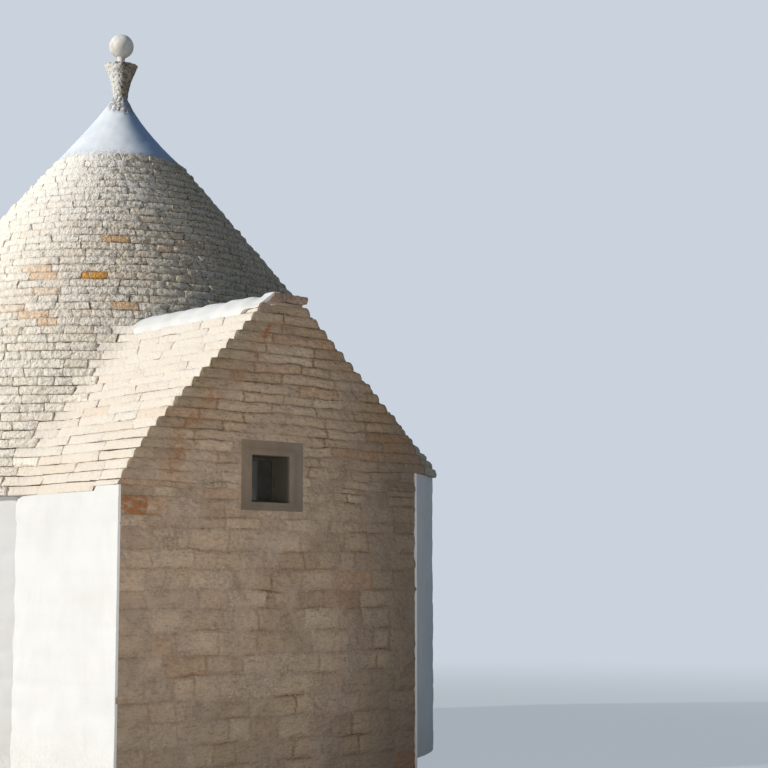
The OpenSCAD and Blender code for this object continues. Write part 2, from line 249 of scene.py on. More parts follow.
def rubble_swell(along, up, seed):
    """Stones under a coat, 0 in the joints and up to 1 on each stone: a flat-topped hump along the row
    times one up it. Rows are 20 cm high and wavy, and each has its own length of stone."""
    row_height, many = 0.20, 997
    chance = np.random.default_rng(seed).uniform(size=many)
    rise = (up + 0.025 * np.sin(along * 1.9 + 1.3 * np.sin(up * 4))) / row_height
    row = np.floor(rise).astype(int)
    run = along + 0.07 * np.sin(along * 4.3 + row * 2.1) + 5 * chance[row % many]
    run = run / (0.26 + 0.2 * chance[(row * 7 + 3) % many])
    stone = np.floor(run).astype(int)
    humps = (1 - (2 * (rise - row) - 1) ** 6) * (1 - (2 * (run - stone) - 1) ** 6)
    return humps * (0.35 + 0.65 * chance[(row * 31 + stone * 17) % many])


def coat_relief(along, z, flat, seed):
    """How far a coat stands out: its thickness, the stones under it and soft lumps."""
    swell = coat_thickness + coat_swell * rubble_swell(along, z, seed)
    return np.maximum(swell + 0.003 * lumps(flat, 0.25, seed + 1), 0.001)


def make_mesh(name, points, faces, attributes=None, crease=math.radians(45)):
    """A new object from points, faces and numbers for each point, smooth but for its creases."""
    mesh = bpy.data.meshes.new(name)
    mesh.from_pydata(np.asarray(points).tolist(), [], faces)
    mesh.shade_smooth()
    mesh.set_sharp_from_angle(angle=crease)
    for label, numbers in (attributes or {}).items():
        mesh.attributes.new(label, "FLOAT", "POINT").data.foreach_set("value", np.ravel(numbers))
    piece = bpy.data.objects.new(name, mesh)
    bpy.context.scene.collection.objects.link(piece)
    return piece


def fit(piece, material, slot, *stands_for):
    """Fixes a finished piece to the building."""
    piece.data.materials.append(material)
    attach(piece, "root")
    if stands_for:
        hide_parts(*stands_for)


def tubes(places, winding=1):
    """Points and faces of closed tubes, from an array of tubes, sections and points round each section:
    quads between the sections and a face across each end."""
    count, sections, ring = places.shape[:3]
    quads = grid_faces(sections, ring, (False, True))
    quads = quads if winding > 0 else quads[:, [0, 3, 2, 1]]
    first = np.arange(count)[:, None, None] * sections * ring
    faces = (first + quads).reshape(-1, 4).tolist()
    for end, way in ((0, winding), ((sections - 1) * ring, -winding)):
        faces += (first[:, 0] + end + np.arange(ring)[::way]).tolist()
    return places.reshape(-1, 3), faces


def skin(face, back):
    """Closed skin between a grid of face points and a grid of bed points that has the same columns:
    the bed is one quad high, so only its top and bottom rows are used."""
    return tubes(np.concatenate([face, back[:, [-1, 0]]], 1)[None])


def join_parts(parts):
    """Puts the points and faces of many closed parts into one list each."""
    points, faces, first = [], [], 0
    for part_points, part_faces in parts:
        points.append(part_points)
        faces += [[first + i for i in face] for face in part_faces]
        first += len(part_points)
    return np.concatenate(points), faces


def round_coat(start, end, low=0.0):
    """Coat between two angles: the wall's own curve, pushed out by the coat and the swells under it."""
    columns = int(abs(end - start) * wall_radius / coat_cell)
    rows = int(eave_height(0.0) / coat_cell)
    rows = max(int(rows * (1 - low / eave_height(0.0))), 6)
    angle = np.linspace(start, end, columns)[:, None]
    z = low + (eave_height(angle) - coat_gap - low) * np.linspace(0, 1, rows)
    angle = np.broadcast_to(angle, z.shape)
    swell = coat_relief(angle * wall_radius + 20, z, about_axis(angle, wall_radius, z), 5)
    out = about_axis(angle, wall_reach(angle) + swell, z)
    return skin(out, about_axis(angle, wall_reach(angle) - coat_bed, z))


lintel_low, lintel_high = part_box("door_lintel")
doorway_angle = math.asin(lintel_high.x / wall_radius)
wing_left, wing_right = (corner.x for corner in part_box("gable_wall"))
wing_overlap = math.radians(0.6)
wing_bite = 0.09
right_start = -math.acos(wing_right / (wall_radius - wing_bite)) - wing_overlap
left_end = 2 * math.pi - math.acos(wing_left / full_reach) + wing_overlap
quarter = math.pi / 2
door_right = math.acos(lintel_high.x / wall_reach(np.array(quarter - doorway_angle)))
door_left = math.acos(-lintel_high.x / wall_reach(np.array(quarter + doorway_angle)))
door_overlap = 0.0006

limewash = Finish("limewash", Roughness=0.93, Specular_IOR_Level=0.2)
cloud = limewash.noise(2.2, 5)
grain = limewash.noise(38, 4, 0.7)
brush = limewash.noise(9, 3, 0.6, 0.22)
splash = (1 - limewash.along("Z").ease(0.05, 0.55)) * grain.ease(0.35, 0.7)
colour = limewash.layers(
    (228, 228, 226), (cloud.ease(0.35, 0.75), (222, 221, 217)),
    (brush.ease(0.5, 0.8) * 0.35, (219, 214, 204)),
    (splash * 0.45, (204, 192, 170)))
limewash = limewash.feed(colour, grain * 0.5 + brush + cloud * 2, 0.004)
dress(limewash, *(name for name in nodes if name.startswith("wall_segment")), "wall_over_doorway")
coat_parts = [round_coat(right_start, door_right), round_coat(door_left, left_end),
              round_coat(door_right - door_overlap, door_left + door_overlap, lintel_high.z)]
fit(make_mesh("round_wall_limewash", *join_parts(coat_parts)), limewash, "limewash")


# Doorway: two jambs of dressed limestone blocks, a lintel and a worn threshold, bedded in the wall
# and standing a little proud of it. The corners are rubbed and the faces are tooled.
def block(low, high, edge, cell, rough, seed):
    """One dressed block. The six sides of a box are grids with a narrow row along each edge. Every point
    is drawn in to the box shrunk by the edge's radius and pushed out again by that radius, which rounds
    the edges, and soft lumps then move it in."""
    low, high = np.array(low, float), np.array(high, float)
    steps = []
    for length in high - low:
        count = max(int(round(length / cell)), 1)
        middle = np.linspace(edge, length - edge, count + 1)
        steps.append(np.concatenate([[0, 0.35 * edge], middle, [length - 0.35 * edge, length]]))
    points, faces, first = [], [], 0
    for axis in range(3):
        a, b = (axis + 1) % 3, (axis + 2) % 3
        u, v = np.meshgrid(steps[a], steps[b], indexing="ij")
        for side in (0, 1):
            grid = np.empty((*u.shape, 3))
            grid[..., axis] = side * (high - low)[axis]
            grid[..., a] = u
            grid[..., b] = v
            quads = first + grid_faces(*u.shape)
            faces.append(quads if side else quads[:, ::-1])
            points.append(low + grid.reshape(-1, 3))
            first += u.size
    spots = np.round(np.concatenate(points) * 1e5).astype(int)
    spots, index = np.unique(spots, axis=0, return_inverse=True)
    points = spots / 1e5
    heart = np.clip(points, low + edge, high - edge)
    away = points - heart
    away /= np.maximum(np.linalg.norm(away, axis=1, keepdims=True), 1e-9)
    inward = rough * (0.6 + 0.5 * lumps(points, cell * 3, seed) + 0.4 * lumps(points, cell * 1.2, seed + 1))
    points = heart + away * (edge - np.clip(inward, 0, 0.9 * edge))[:, None]
    return points, index.reshape(-1)[np.concatenate(faces)].tolist()


dressed = Finish("dressed_stone", Roughness=0.86, Specular_IOR_Level=0.25)
tooling = dressed.noise(60, 3, 0.6, 0.5)
cloud = dressed.noise(5, 4)
colour = dressed.layers(
    (214, 203, 182), (cloud.ease(0.3, 0.7), (193, 178, 152)),
    (tooling.ease(0.55, 0.8) * 0.4, (160, 146, 122)))
dressed = dressed.feed(colour, tooling + cloud, 0.003)
jamb_low, jamb_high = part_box("door_jambs")
jamb_width = 0.17
jamb_joint = 0.004
jamb_beds = [0.0, 0.42, 0.80, 1.16, 1.60, 1.98]
jamb_blocks = []
for side, x in enumerate((jamb_low.x, jamb_high.x - jamb_width)):
    for k, (bed, top) in enumerate(zip(jamb_beds[:-1], jamb_beds[1:])):
        jamb_blocks.append(block((x, jamb_low.y, bed + (jamb_joint if k else 0)),
                                 (x + jamb_width, jamb_high.y, top - jamb_joint * 0.5),
                                 0.012, 0.05, 0.005, 20 + k + 10 * side))
fit(make_mesh("doorway_jambs", *join_parts(jamb_blocks)), dressed, "dressed_stone", "door_jambs")
fit(make_mesh("doorway_lintel", *block(lintel_low, lintel_high, 0.014, 0.05, 0.006, 41)),
    dressed, "dressed_stone", "door_lintel")
step_points, step_faces = block(*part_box("door_threshold"), 0.016, 0.04, 0.004, 43)
tread = np.clip(step_points[:, 2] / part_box("door_threshold")[1].z, 0, 1) ** 4
step_points[:, 2] -= 0.012 * tread * np.exp(-(step_points[:, 0] / 0.25) ** 2)
fit(make_mesh("doorway_threshold", step_points, step_faces), dressed, "dressed_stone", "door_threshold")


# Door: five upright boards of chestnut on two ledges, hung in a plain frame. It stands open, turned
# back against the side of the passage. The wood is dry, brown and grey on its edges.
timber = Finish("weathered_timber", Roughness=0.7, Specular_IOR_Level=0.3)
grain = timber.noise(14, 4, 0.6, 0.06)
fibre = timber.noise(120, 3, 0.6, 0.02)
colour = timber.layers(
    (86, 60, 40), (grain.ease(0.3, 0.7), (122, 90, 62)),
    (fibre.ease(0.5, 0.75) * 0.5, (58, 42, 30)))
timber = timber.feed(colour, fibre + grain, 0.0015)
dress(timber, "door_frame")
leaf_low, leaf_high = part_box("door_leaf")
boards = 5
board_width = (leaf_high.y - leaf_low.y) / boards
board_gap = 0.001
ledge_x = leaf_high.x - 0.018
ledge_width = 0.12
door_parts = []
for k in range(boards):
    start = leaf_low.y + k * board_width
    door_parts.append(block((leaf_low.x, start + board_gap, leaf_low.z),
                            (ledge_x, start + board_width - board_gap, leaf_high.z),
                            0.004, 0.12, 0.001, 60 + k))
for height in (0.28, 1.42):
    door_parts.append(block((ledge_x - 0.001, leaf_low.y + 0.04, height),
                            (leaf_high.x, leaf_high.y - 0.04, height + ledge_width),
                            0.004, 0.12, 0.001, 70))
fit(make_mesh("plank_door", *join_parts(door_parts)), timber, "timber", "door_leaf")


# Vaults: the corbelled vault over the room and the low barrel over the alcove, built dry in thin
# courses and whitewashed inside. A single slab closes the top of the cone's vault.
vault = Finish("whitewashed_courses", Roughness=0.92, Specular_IOR_Level=0.2)
vault_course = (vault.along("Z") / 0.11 + vault.noise(1.6, 3) * 0.5).sum("PINGPONG", 0.5)
stones = vault.noise(6, 3, 0.5, 2.6)
colour = vault.layers(
    (170, 158, 134), (vault_course.ease(0.0, 0.08), (232, 227, 214)),
    (stones.ease(0.5, 0.75) * 0.6, (208, 196, 172)))
vault = vault.feed(colour, vault_course.ease(0.0, 0.12) + stones * 0.6, 0.012)
dress(vault, "cone_vault", "alcove_vault", "closing_slab")


# Side walls of the wing: the same rubble and limewash as the round wall, in flat coats that end at
# the gable's corner. On the left the coat goes a little higher where the lowest slab is thinner.
gable_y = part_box("gable_wall")[0].y
coat_end = 0.006
notch_length = 0.33
notch_height = 0.035
right_eave_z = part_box("wing_wall_right")[1].z


def side_coat(x, outward, back_y, top, notch=0.0):
    """Flat coat on a wall that faces along X: a grid in Y and Z, pushed out by the swells under it."""
    columns, rows = int((back_y - gable_y) / coat_cell), int((top + notch) / coat_cell)
    y = np.linspace(gable_y + coat_end, back_y, columns)[:, None]
    z = (top + notch * (y < gable_y + notch_length) - coat_gap) * np.linspace(0, 1, rows)
    y = np.broadcast_to(y, z.shape)
    flat = np.stack([np.full_like(z, x), y, z], -1)
    thin_edge = np.clip((y - gable_y) / 0.03, 0.25, 1)
    out = outward * coat_relief(y + 40, z, flat, 8) * thin_edge
    face = flat + np.stack([out, 0 * z, 0 * z], -1)
    return skin(face[::outward], (flat - [outward * coat_bed, 0, 0])[::outward])


left_back_y = -math.sqrt(full_reach ** 2 - wing_left ** 2) + coat_lap
right_back_y = -math.sqrt((wall_radius - coat_lap) ** 2 - wing_right ** 2) + coat_lap
side_coats = [side_coat(wing_left, -1, left_back_y, first_course_z, notch_height),
              side_coat(wing_right, 1, right_back_y, right_eave_z)]
fit(make_mesh("wing_walls_limewash", *join_parts(side_coats)), limewash, "limewash")
dress(limewash, "wing_wall_left", "wing_wall_right")


# Gable: rubble laid in wavy courses of long thin stones. Each course carries on a course of the roof
# and ends at the roof's outer face, over the ends of the slabs. The faces lie in one plane, and lime
# mortar fills the joints to just behind it, nearly flush low down. The core is mortar and small stuff.
wing_courses = 19
right_eave_course = 3
slope_power = 2.5
cap_low, cap_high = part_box("gable_capstone")
wing_sides = [(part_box("wing_roof_left")[0].x, cap_low.x, -0.79, 0),
              (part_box("wing_roof_right")[1].x, cap_high.x, 0.70, right_eave_course)]
window_low, window_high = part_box("window_sill")[0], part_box("window_lintel")[1]
notch_top = first_course_z + notch_height
low_rows = [0.0, 0.19, 0.35, 0.53, 0.68, 0.86, 1.01, 1.19, 1.36, 1.50, 1.66, 1.80, 1.96, 2.05, 2.19]
high_rows = [first_course_z + course_height * i for i in range(1, wing_courses + 1)]
gable_rows = np.array([*low_rows, notch_top, *high_rows])
corner_stone_row = 13
dressed_ends_top = 2.2
short_stones_top = 2.5
paired_rows = 10
bed_shares = np.array([0, 0.06, 0.2, 0.5, 0.8, 0.93])
joint_shape = np.array([1, 0.35, 0.08, 0, 0.12, 0.55])
gable_draw = np.random.default_rng(11)
ragged_ends = gable_draw.uniform(0, 0.012, (len(gable_rows), 2))
face_cell = 0.015
face_depth = 0.08
face_return = 0.17
wall_seat = 0.07
side_inset = 0.004
slab_end = 0.026
slab_gap = 0.004
slab_lean = 0.027
end_stones = np.array([0.25, 0.24])
hair = 1e-6
crack_x, crack_z = -0.945, 3.46


def wing_edge(side, course):
    """Left or right end of a wing course: straight from eave to ridge, less a belly that is fullest low
    down. The right eave starts some courses higher."""
    foot, ridge, belly, first = wing_sides[side]
    share = (course - first) / (wing_courses - first)
    return foot + (ridge - foot) * share + belly * share * (1 - share) ** slope_power


def cut_row(length, shortest, longest, draw):
    """Joints along a row: random stone lengths added up, then scaled to fill the row exactly."""
    count = max(int(round(length / ((shortest + longest) / 2))), 1)
    joints = np.concatenate([[0], np.cumsum(draw.uniform(shortest, longest, count))])
    return joints * length / joints[-1]


def gable_ends(z):
    """Left and right ends of the gable's masonry at a height: the wing's sides or the roof's faces."""
    row = max(int(np.searchsorted(gable_rows, z + hair)) - 1, 0)
    share = 1.0
    if row < len(gable_rows) - 1:
        share = (z - gable_rows[row]) / (gable_rows[row + 1] - gable_rows[row])
    worn_end = 0.6 * slab_lean * share + slab_lean * share ** 5
    course = int((z - first_course_z) / course_height + hair)
    left, right = wing_left + side_inset, wing_right - side_inset
    if z >= notch_top - hair:
        left = wing_edge(0, course) + ragged_ends[row, 0] + worn_end
    if z >= right_eave_z - hair:
        right = wing_edge(1, course) - ragged_ends[row, 1] - worn_end
    return left, right


row_joints, row_stones = [], []
for k, row_z in enumerate(gable_rows[:-1]):
    left, right = gable_ends(row_z)
    ends = (end_stones + 0.05 * (k // 2 % 2)) * (row_z < dressed_ends_top)
    shortest, longest = (0.16, 0.42) if row_z < short_stones_top else (0.24, 0.62)
    joints = left + ends[0] + cut_row(right - left - ends.sum(), shortest, longest, gable_draw)
    if ends[0]:
        joints = np.concatenate([[left], joints, [right]])
    number = len(joints) - 1
    rust = np.where(gable_draw.uniform(size=number) < 0.07, gable_draw.uniform(0.15, 0.4, number), 0.0)
    stones = np.stack([gable_draw.uniform(0, 1, number), rust, gable_draw.uniform(0, 0.008, number)])
    if k == corner_stone_row:
        stones[1, :2] = 0.95, 0.35
    row_joints.append(joints)
    row_stones.append(stones)


def window_gap(x, z):
    """Distance from the ring of the window, in the gable's plane."""
    aside = np.maximum(np.maximum(window_low.x - x, x - window_high.x), 0)
    above = np.maximum(np.maximum(window_low.z - z, z - window_high.z), 0)
    return np.hypot(aside, above)


def bed_wave(x, z):
    """How far a bed of the gable strays from level: soft swells that fade out at the edges of the wall,
    at the window and below the eaves."""
    left = np.interp(z, [0, first_course_z, cap_low.z], [wing_left, wing_left + 0.1, cap_low.x])
    right = np.interp(z, [0, right_eave_z, cap_low.z], [wing_right, wing_right, cap_high.x])
    side = np.clip(np.minimum(x - left, right - x) / 0.35 - 0.3, 0, 1)
    clear = np.clip(window_gap(x, z) / 0.25, 0, 1)
    flat = np.stack([x, 0 * x, z * 1.6], -1)
    wave = 0.010 * lumps(flat, 0.55, 36) + 0.005 * lumps(flat, 0.17, 37)
    return wave * side * clear * np.clip(z / 0.3, 0, 1)


def iron_stains(x, z):
    """Brown stains: a band washed down beside the left slope, the arc of a crack under the ridge and two
    spots right of the window. Each is a bell curve of the distance from its line or middle."""
    line = np.interp(z, [2.365, 2.669, 3.003, 3.312], [-1.966, -1.871, -1.540, -1.186])
    band = np.exp(-((x - line) / 0.10) ** 2) * np.clip((z - 2.25) / 0.1, 0, 1)
    band = band * np.clip((3.45 - z) / 0.15, 0, 1)
    from_crack = np.hypot(x - crack_x, z - crack_z)
    crack = np.exp(-((from_crack - 0.14) / 0.02) ** 2) * np.clip((z - 3.38) / 0.04, 0, 1)
    crack *= np.clip((-0.84 - x) / 0.05, 0, 1)
    halo = np.exp(-((from_crack - 0.12) / 0.07) ** 2) * np.clip((z - 3.35) / 0.06, 0, 1)
    spots = np.exp(-((x - 0.036) / 0.11) ** 2 - ((z - 2.598) / 0.045) ** 2)
    spots += np.exp(-((x - 0.236) / 0.05) ** 2 - ((z - 2.650) / 0.04) ** 2)
    return band * 0.55 + crack * 0.9 + halo * 0.25 + spots * 0.6, crack


def rubble_face(low, high, span):
    """Part of the gable as a closed slab of masonry with its numbers. Its face is a grid with lines along
    the beds. The depth behind the plane is each stone's own, plus the joints round it where no mortar
    fills them, plus soft lumps. At the two ends the face turns round the corner and over the slabs."""
    lines = (gable_rows[:-1, None] + np.diff(gable_rows)[:, None] * bed_shares).ravel()
    lines = np.concatenate([[low], lines[(lines > low + 0.003) & (lines < high - 0.003)], [high]])
    edges = np.array([span(height) for height in lines])
    columns = int((edges[:, 1] - edges[:, 0]).max() / face_cell)
    x = edges[:, :1] + (edges[:, 1:] - edges[:, :1]) * np.linspace(0, 1, columns)
    z = lines[:, None] + 0 * x
    flat = np.stack([x, gable_y + 0 * x, z], -1)
    row = np.clip(np.searchsorted(gable_rows, lines + hair) - 1, 0, len(gable_rows) - 2)
    numbers = np.zeros((4, *x.shape))
    for k in np.unique(row):
        here = row == k
        joints = row_joints[k]
        along = x[here] + 0.012 * lumps(flat[here], 0.12, 31)
        stone = np.clip(np.searchsorted(joints, along) - 1, 0, len(joints) - 2)
        numbers[:3, here] = row_stones[k][:, stone]
        numbers[3, here] = np.minimum(along - joints[stone], joints[stone + 1] - along)
        merged = (k % 2 == 1) & (k < paired_rows) & ((stone == 0) | (stone == len(joints) - 2))
        at_bed = (lines[here] < gable_rows[k] + 0.02)[:, None]
        numbers[3, here] = np.where(merged & at_bed, -1, numbers[3, here])
    tone, rust, set_back, gap = numbers
    share = (lines - gable_rows[row]) / np.diff(gable_rows)[row]
    bed = np.interp(share, np.append(bed_shares, 1), np.append(joint_shape, 1))[:, None]
    joint = np.where(gap < 0, 0, np.maximum(bed, np.exp(-(gap / 0.010) ** 2)))
    fill = 0.22 + 0.45 * lumps(flat, 0.40, 32) + np.interp(z, [2.35, 2.95], [0.5, 0])
    clear = np.clip(window_gap(x, z) / 0.07, 0, 1)
    fill = 1 - (1 - np.clip(fill, 0, 1)) * clear
    stain, crack = iron_stains(x, z)
    joint = joint * (1 - 0.8 * fill)
    corner = 1 - np.clip(np.minimum(x - edges[:, :1], edges[:, 1:] - x) / 0.03, 0, 1)
    depth = set_back * (1 - 0.7 * fill) + 0.015 * joint + 0.006 * corner ** 2 + 0.006 * crack
    uneven = 0.0055 * (1 + lumps(flat * [0.6, 1, 1.4], 0.10, 33))
    depth += uneven + 0.0025 * lumps(flat * [0.7, 1, 1], 0.05, 34)
    depth = np.clip(0.006 + (depth - 0.006) * clear, 0.0008, 0.019)
    z = np.maximum(z + bed_wave(x, z), face_foot)
    seat = [np.where(lines < eaves_z - hair, wall_seat, slab_end - slab_gap)
            for eaves_z in (notch_top, right_eave_z)]
    turn = [0, 0, *range(columns), columns - 1, columns - 1]
    x, depth, z = x[:, turn], depth[:, turn], z[:, turn]
    x[:, 0] += face_return
    x[:, -1] -= face_return
    depth[:, :2] = seat[0][:, None]
    depth[:, -2:] = seat[1][:, None]
    face = np.stack([x, gable_y + depth, z], -1)[:, ::-1]
    back = face[:, [0, -1]].copy()
    back[..., 1] = gable_y + face_depth
    rust = np.maximum(rust, stain * np.clip(0.75 + 0.5 * lumps(flat, 0.15, 35), 0, 1))
    carried = np.stack([tone, rust, joint, fill])[:, :, turn][:, :, ::-1]
    return skin(face, back), np.concatenate([carried, carried[:, :, [-1, 0]]], 2).reshape(4, -1)


def left_of_window(z):
    """The gable from its left end to the window."""
    return gable_ends(z)[0], window_low.x


def right_of_window(z):
    """The gable from the window to its right end."""
    return window_high.x, gable_ends(z)[1]


face_foot = 0.002
window_lap = 0.004
gable_faces = [rubble_face(face_foot, window_low.z, gable_ends),
               rubble_face(window_high.z, cap_low.z - slab_gap, gable_ends),
               rubble_face(window_low.z - window_lap, window_high.z + window_lap, left_of_window),
               rubble_face(window_low.z - window_lap, window_high.z + window_lap, right_of_window)]
carried = np.concatenate([numbers for part, numbers in gable_faces], 1)
gable_face = make_mesh("gable_face", *join_parts([part for part, numbers in gable_faces]),
                       dict(zip(("tone", "rust", "joint", "smear"), carried)))

rubble = Finish("gable_rubble", Roughness=0.92, Specular_IOR_Level=0.2)
cloud = rubble.noise(4.5, 4)
grain = rubble.noise(42, 3, 0.6)
rubble_bed = rubble.noise(16, 4, 0.6, 4)
chips = rubble.noise(17, 3, 0.6, 1.7)
rubble_x, rubble_z = rubble.along("X"), rubble.along("Z")
pale_film = grain.ease(0.45, 0.7) * cloud.ease(0.35, 0.6)
# Darker towards the right of the gable: painted shade, where the wall's right part gets less light.
right_side_shade = rubble_x.ease(-0.7, 0.5)
olive = (1 - (rubble_x + 2.35 - (rubble_z - 2.6) * 0.8).ease(0.15, 0.75)) * rubble_z.ease(2.3, 2.6)
ochre = (rubble_x - 0.45 + (rubble_z - 2.5) * 0.72).ease(-0.5, 0.05) * rubble_z.ease(2.4, 2.6)
# Darker towards the foot of the wall.
foot_darkening = (1 - rubble_z.ease(0.1, 1.2)) * cloud.ease(0.3, 0.7)
smeared = rubble.layers(
    (148, 133, 120), (cloud.ease(0.35, 0.7), (180, 165, 150)),
    (rubble.noise(6, 4, 0.65).ease(0.48, 0.66) * 0.55, (126, 104, 84)),
    (right_side_shade * 0.6, (100, 90, 80)))
smear_share = rubble.own("smear") * (0.25 + grain.ease(0.35, 0.6) * 0.5)
colour = rubble.layers(
    (172, 148, 122), (rubble.own("tone"), (208, 186, 160)),
    (cloud.ease(0.4, 0.7) * 0.6, (190, 160, 128)),
    (pale_film * 0.45, (214, 200, 178)),
    (rubble_bed.ease(0.48, 0.68) * 0.35, (126, 104, 80)),
    (rubble.own("joint") * grain.ease(0.2, 0.6), (92, 74, 56)),
    # Painted shade towards the right of the gable.
    (right_side_shade * 0.6, (100, 88, 74)),
    (olive * cloud.ease(0.3, 0.6) * 0.45, (128, 118, 84)),
    (ochre * grain.ease(0.48, 0.62) * 0.6, (170, 118, 50)),
    (foot_darkening * 0.4, (140, 122, 98)),
    (smear_share * (1 - rubble.own("rust") * 0.6), smeared),
    (rubble.own("rust") * chips.ease(0.34, 0.52), (162, 112, 74)),
    (chips.ease(0.56, 0.70) * 0.30, (104, 86, 68)))
rubble = rubble.feed(colour, rubble_bed * 0.25 + chips + grain * 0.2, 0.026)
fit(gable_face, rubble, "rubble")

mortar = Finish("lime_mortar", Roughness=0.95, Specular_IOR_Level=0.2)
grain = mortar.noise(55, 4, 0.7)
colour = mortar.layers(
    (158, 138, 120), (mortar.noise(3.5, 3).ease(0.35, 0.7), (184, 166, 146)),
    (grain.ease(0.5, 0.75) * 0.5, (120, 104, 86)),
    # Darker towards the right of the gable: painted shade, as on the rubble.
    (mortar.along("X").ease(-0.7, 0.5) * 0.45, (112, 98, 82)),
    (mortar.noise(5, 4, 0.65, 0.6).ease(0.52, 0.7) * 0.5, (138, 112, 88)))
mortar = mortar.feed(colour, grain, 0.005)
core_nodes = ["gable_wall", "gable_flank_left", "gable_flank_right", "gable_peak"]
core_shrink = 0.9994
core_parts = []
for name in core_nodes:
    core_mesh = bmesh.new()
    core_mesh.from_mesh(nodes[name].data)
    bmesh.ops.remove_doubles(core_mesh, verts=core_mesh.verts, dist=0.00001)
    core_points = np.array([vertex.co for vertex in core_mesh.verts])
    core_middle = (core_points.min(0) + core_points.max(0)) / 2
    core_points[core_points[:, 1] < gable_y + 0.01, 1] = gable_y + wall_seat
    core_points = core_middle + (core_points - core_middle) * core_shrink
    core_parts.append((core_points, [[vertex.index for vertex in face.verts] for face in core_mesh.faces]))
fit(make_mesh("gable_core", *join_parts(core_parts)), mortar, "rubble", *core_nodes)


# Window: a small fixed light in a thin dark frame, set well back. The stones round it are rendered
# smooth with lime and sand, which has greyed in the shade. The reveal, where the render turns back
# into the wall, is painted darker as shade in the recess.
render = Finish("smooth_render", Roughness=0.9, Specular_IOR_Level=0.2)
cloud = render.noise(6, 4)
grain = render.noise(70, 3, 0.7)
# How far the render has turned back into the reveal: a mask for painted shade in the recess.
reveal_shade = render.along("Y").ease(gable_y + 0.005, gable_y + 0.05)
colour = render.layers(
    (142, 126, 108), (cloud.ease(0.3, 0.7), (126, 112, 96)),
    (render.along("X").ease(-1.05, -0.65) * 0.6, (124, 120, 110)),
    ((1 - render.along("Z").ease(2.14, 2.30)) * 0.5, (104, 98, 86)),
    (grain.ease(0.55, 0.8) * 0.3, (122, 108, 92)),
    # The reveal painted darker: painted shade.
    (reveal_shade * 0.85, (84, 81, 72)))
render = render.feed(colour, grain * 0.4 + cloud, 0.003)
pane_low, pane_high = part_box("window_frame")
surround_profile = np.array([[0.0, 0.26], [0.0, 0.12], [0.0, 0.02], [0.01, 0.007], [0.05, 0.001],
                             [0.22, 0.0], [0.42, 0.0015], [0.46, 0.005], [0.70, 0.005], [0.94, 0.0055],
                             [1.0, 0.006], [1.0, 0.12], [1.0, 0.26]])
side_steps = 16


def frame_line(low, high):
    """Points round an upright rectangle, evenly along each of its four sides."""
    corners = np.array([[low.x, low.z], [high.x, low.z], [high.x, high.z], [low.x, high.z]])
    share = np.linspace(0, 1, side_steps, endpoint=False)[:, None]
    return np.concatenate([corners[k] * (1 - share) + corners[(k + 1) % 4] * share for k in range(4)])


share = surround_profile[:, :1, None]
flat = frame_line(pane_low, pane_high) * (1 - share) + frame_line(window_low, window_high) * share
surround = np.stack([flat[..., 0], gable_y + surround_profile[:, 1:] + 0 * flat[..., 0], flat[..., 1]], -1)
uneven = np.clip(0.0012 * lumps(surround, 0.10, 81) + 0.0012, 0, None)
surround[2:11, :, 1] += uneven[2:11]
surround_faces = grid_faces(*surround.shape[:2], (True, True)).tolist()
fit(make_mesh("window_surround", surround.reshape(-1, 3), surround_faces), render, "window_render",
    "window_lintel", "window_sill", "window_jambs")
old_paint = Finish("dark_painted_wood", Roughness=0.6, Specular_IOR_Level=0.3)
wear = old_paint.noise(60, 3, 0.6, 0.2)
old_paint = old_paint.feed(old_paint.layers((60, 57, 52), (wear.ease(0.4, 0.7), (80, 76, 68))))
bar = 0.024
bar_ends = [(pane_low.x, pane_low.x + bar, pane_low.z, pane_high.z),
            (pane_high.x - bar, pane_high.x, pane_low.z, pane_high.z),
            (pane_low.x + bar, pane_high.x - bar, pane_low.z, pane_low.z + bar),
            (pane_low.x + bar, pane_high.x - bar, pane_high.z - bar, pane_high.z)]
bars = [block((x0, pane_low.y, z0), (x1, pane_high.y, z1), 0.003, 0.06, 0.0005, 85 + k)
        for k, (x0, x1, z0, z1) in enumerate(bar_ends)]
fit(make_mesh("window_casement", *join_parts(bars)), old_paint, "timber", "window_frame")
glass = Finish("window_glass", Roughness=0.08, IOR=1.5, Transmission_Weight=0.55, Specular_IOR_Level=0.14)
# A pale diagonal band across the glass: a painted reflection.
reflection_line = glass.along("X") * 1.9 + glass.along("Z") - (pane_low.x * 1.9 + pane_high.z)
colour = glass.layers(
    (80, 80, 76), (glass.noise(9, 4).ease(0.4, 0.8), (98, 96, 88)),
    (reflection_line.ease(-0.06, 0.0) * (1 - reflection_line.ease(0.03, 0.10)) * 0.7, (128, 128, 118)))
dress(glass.feed(colour), "window_glass")


# Roof slabs: courses of flat limestone slabs, laid dry on the vaults' masonry from the eave up, each
# course set back on the one below. A course runs along the wing from the gable, turns into the cone in
# a soft valley, goes round the cone and comes back along the wing's other side.
valley_softness = 0.14
path_step = 0.02
slab_depth = 0.15
slab_rough = 0.005
slab_nose = 0.006
slab_profile = np.array([[0.011, 0.0], [0.003, 0.08], [0.0, 0.34], [0.001, 0.66], [0.005, 0.92],
                         [0.014, 1.0], [0.09, 1.0], [1.0, 1.0], [1.0, 0.0]])
ring = len(slab_profile)
slab_front = np.arange(ring) < 6
sections = 7
gable_end = gable_y + slab_end
longer_wing = 2.2
longer_eave = 1.9
longer_low = 1.25
sag_top = 5.67
bands = 5
slab_draw = np.random.default_rng(23)
north = math.radians(-28)
rusty_slabs = [(-121, 30, 0.7), (-126, 25, 1.0), (-110, 29, 0.35), (-100, 30, 0.3), (-147, 26, 0.4),
               (-144, 25, 0.5), (-140, 23, 0.25), (-119, 21, 0.6), (-140, 20, 0.4), (-137, 19, 0.45)]


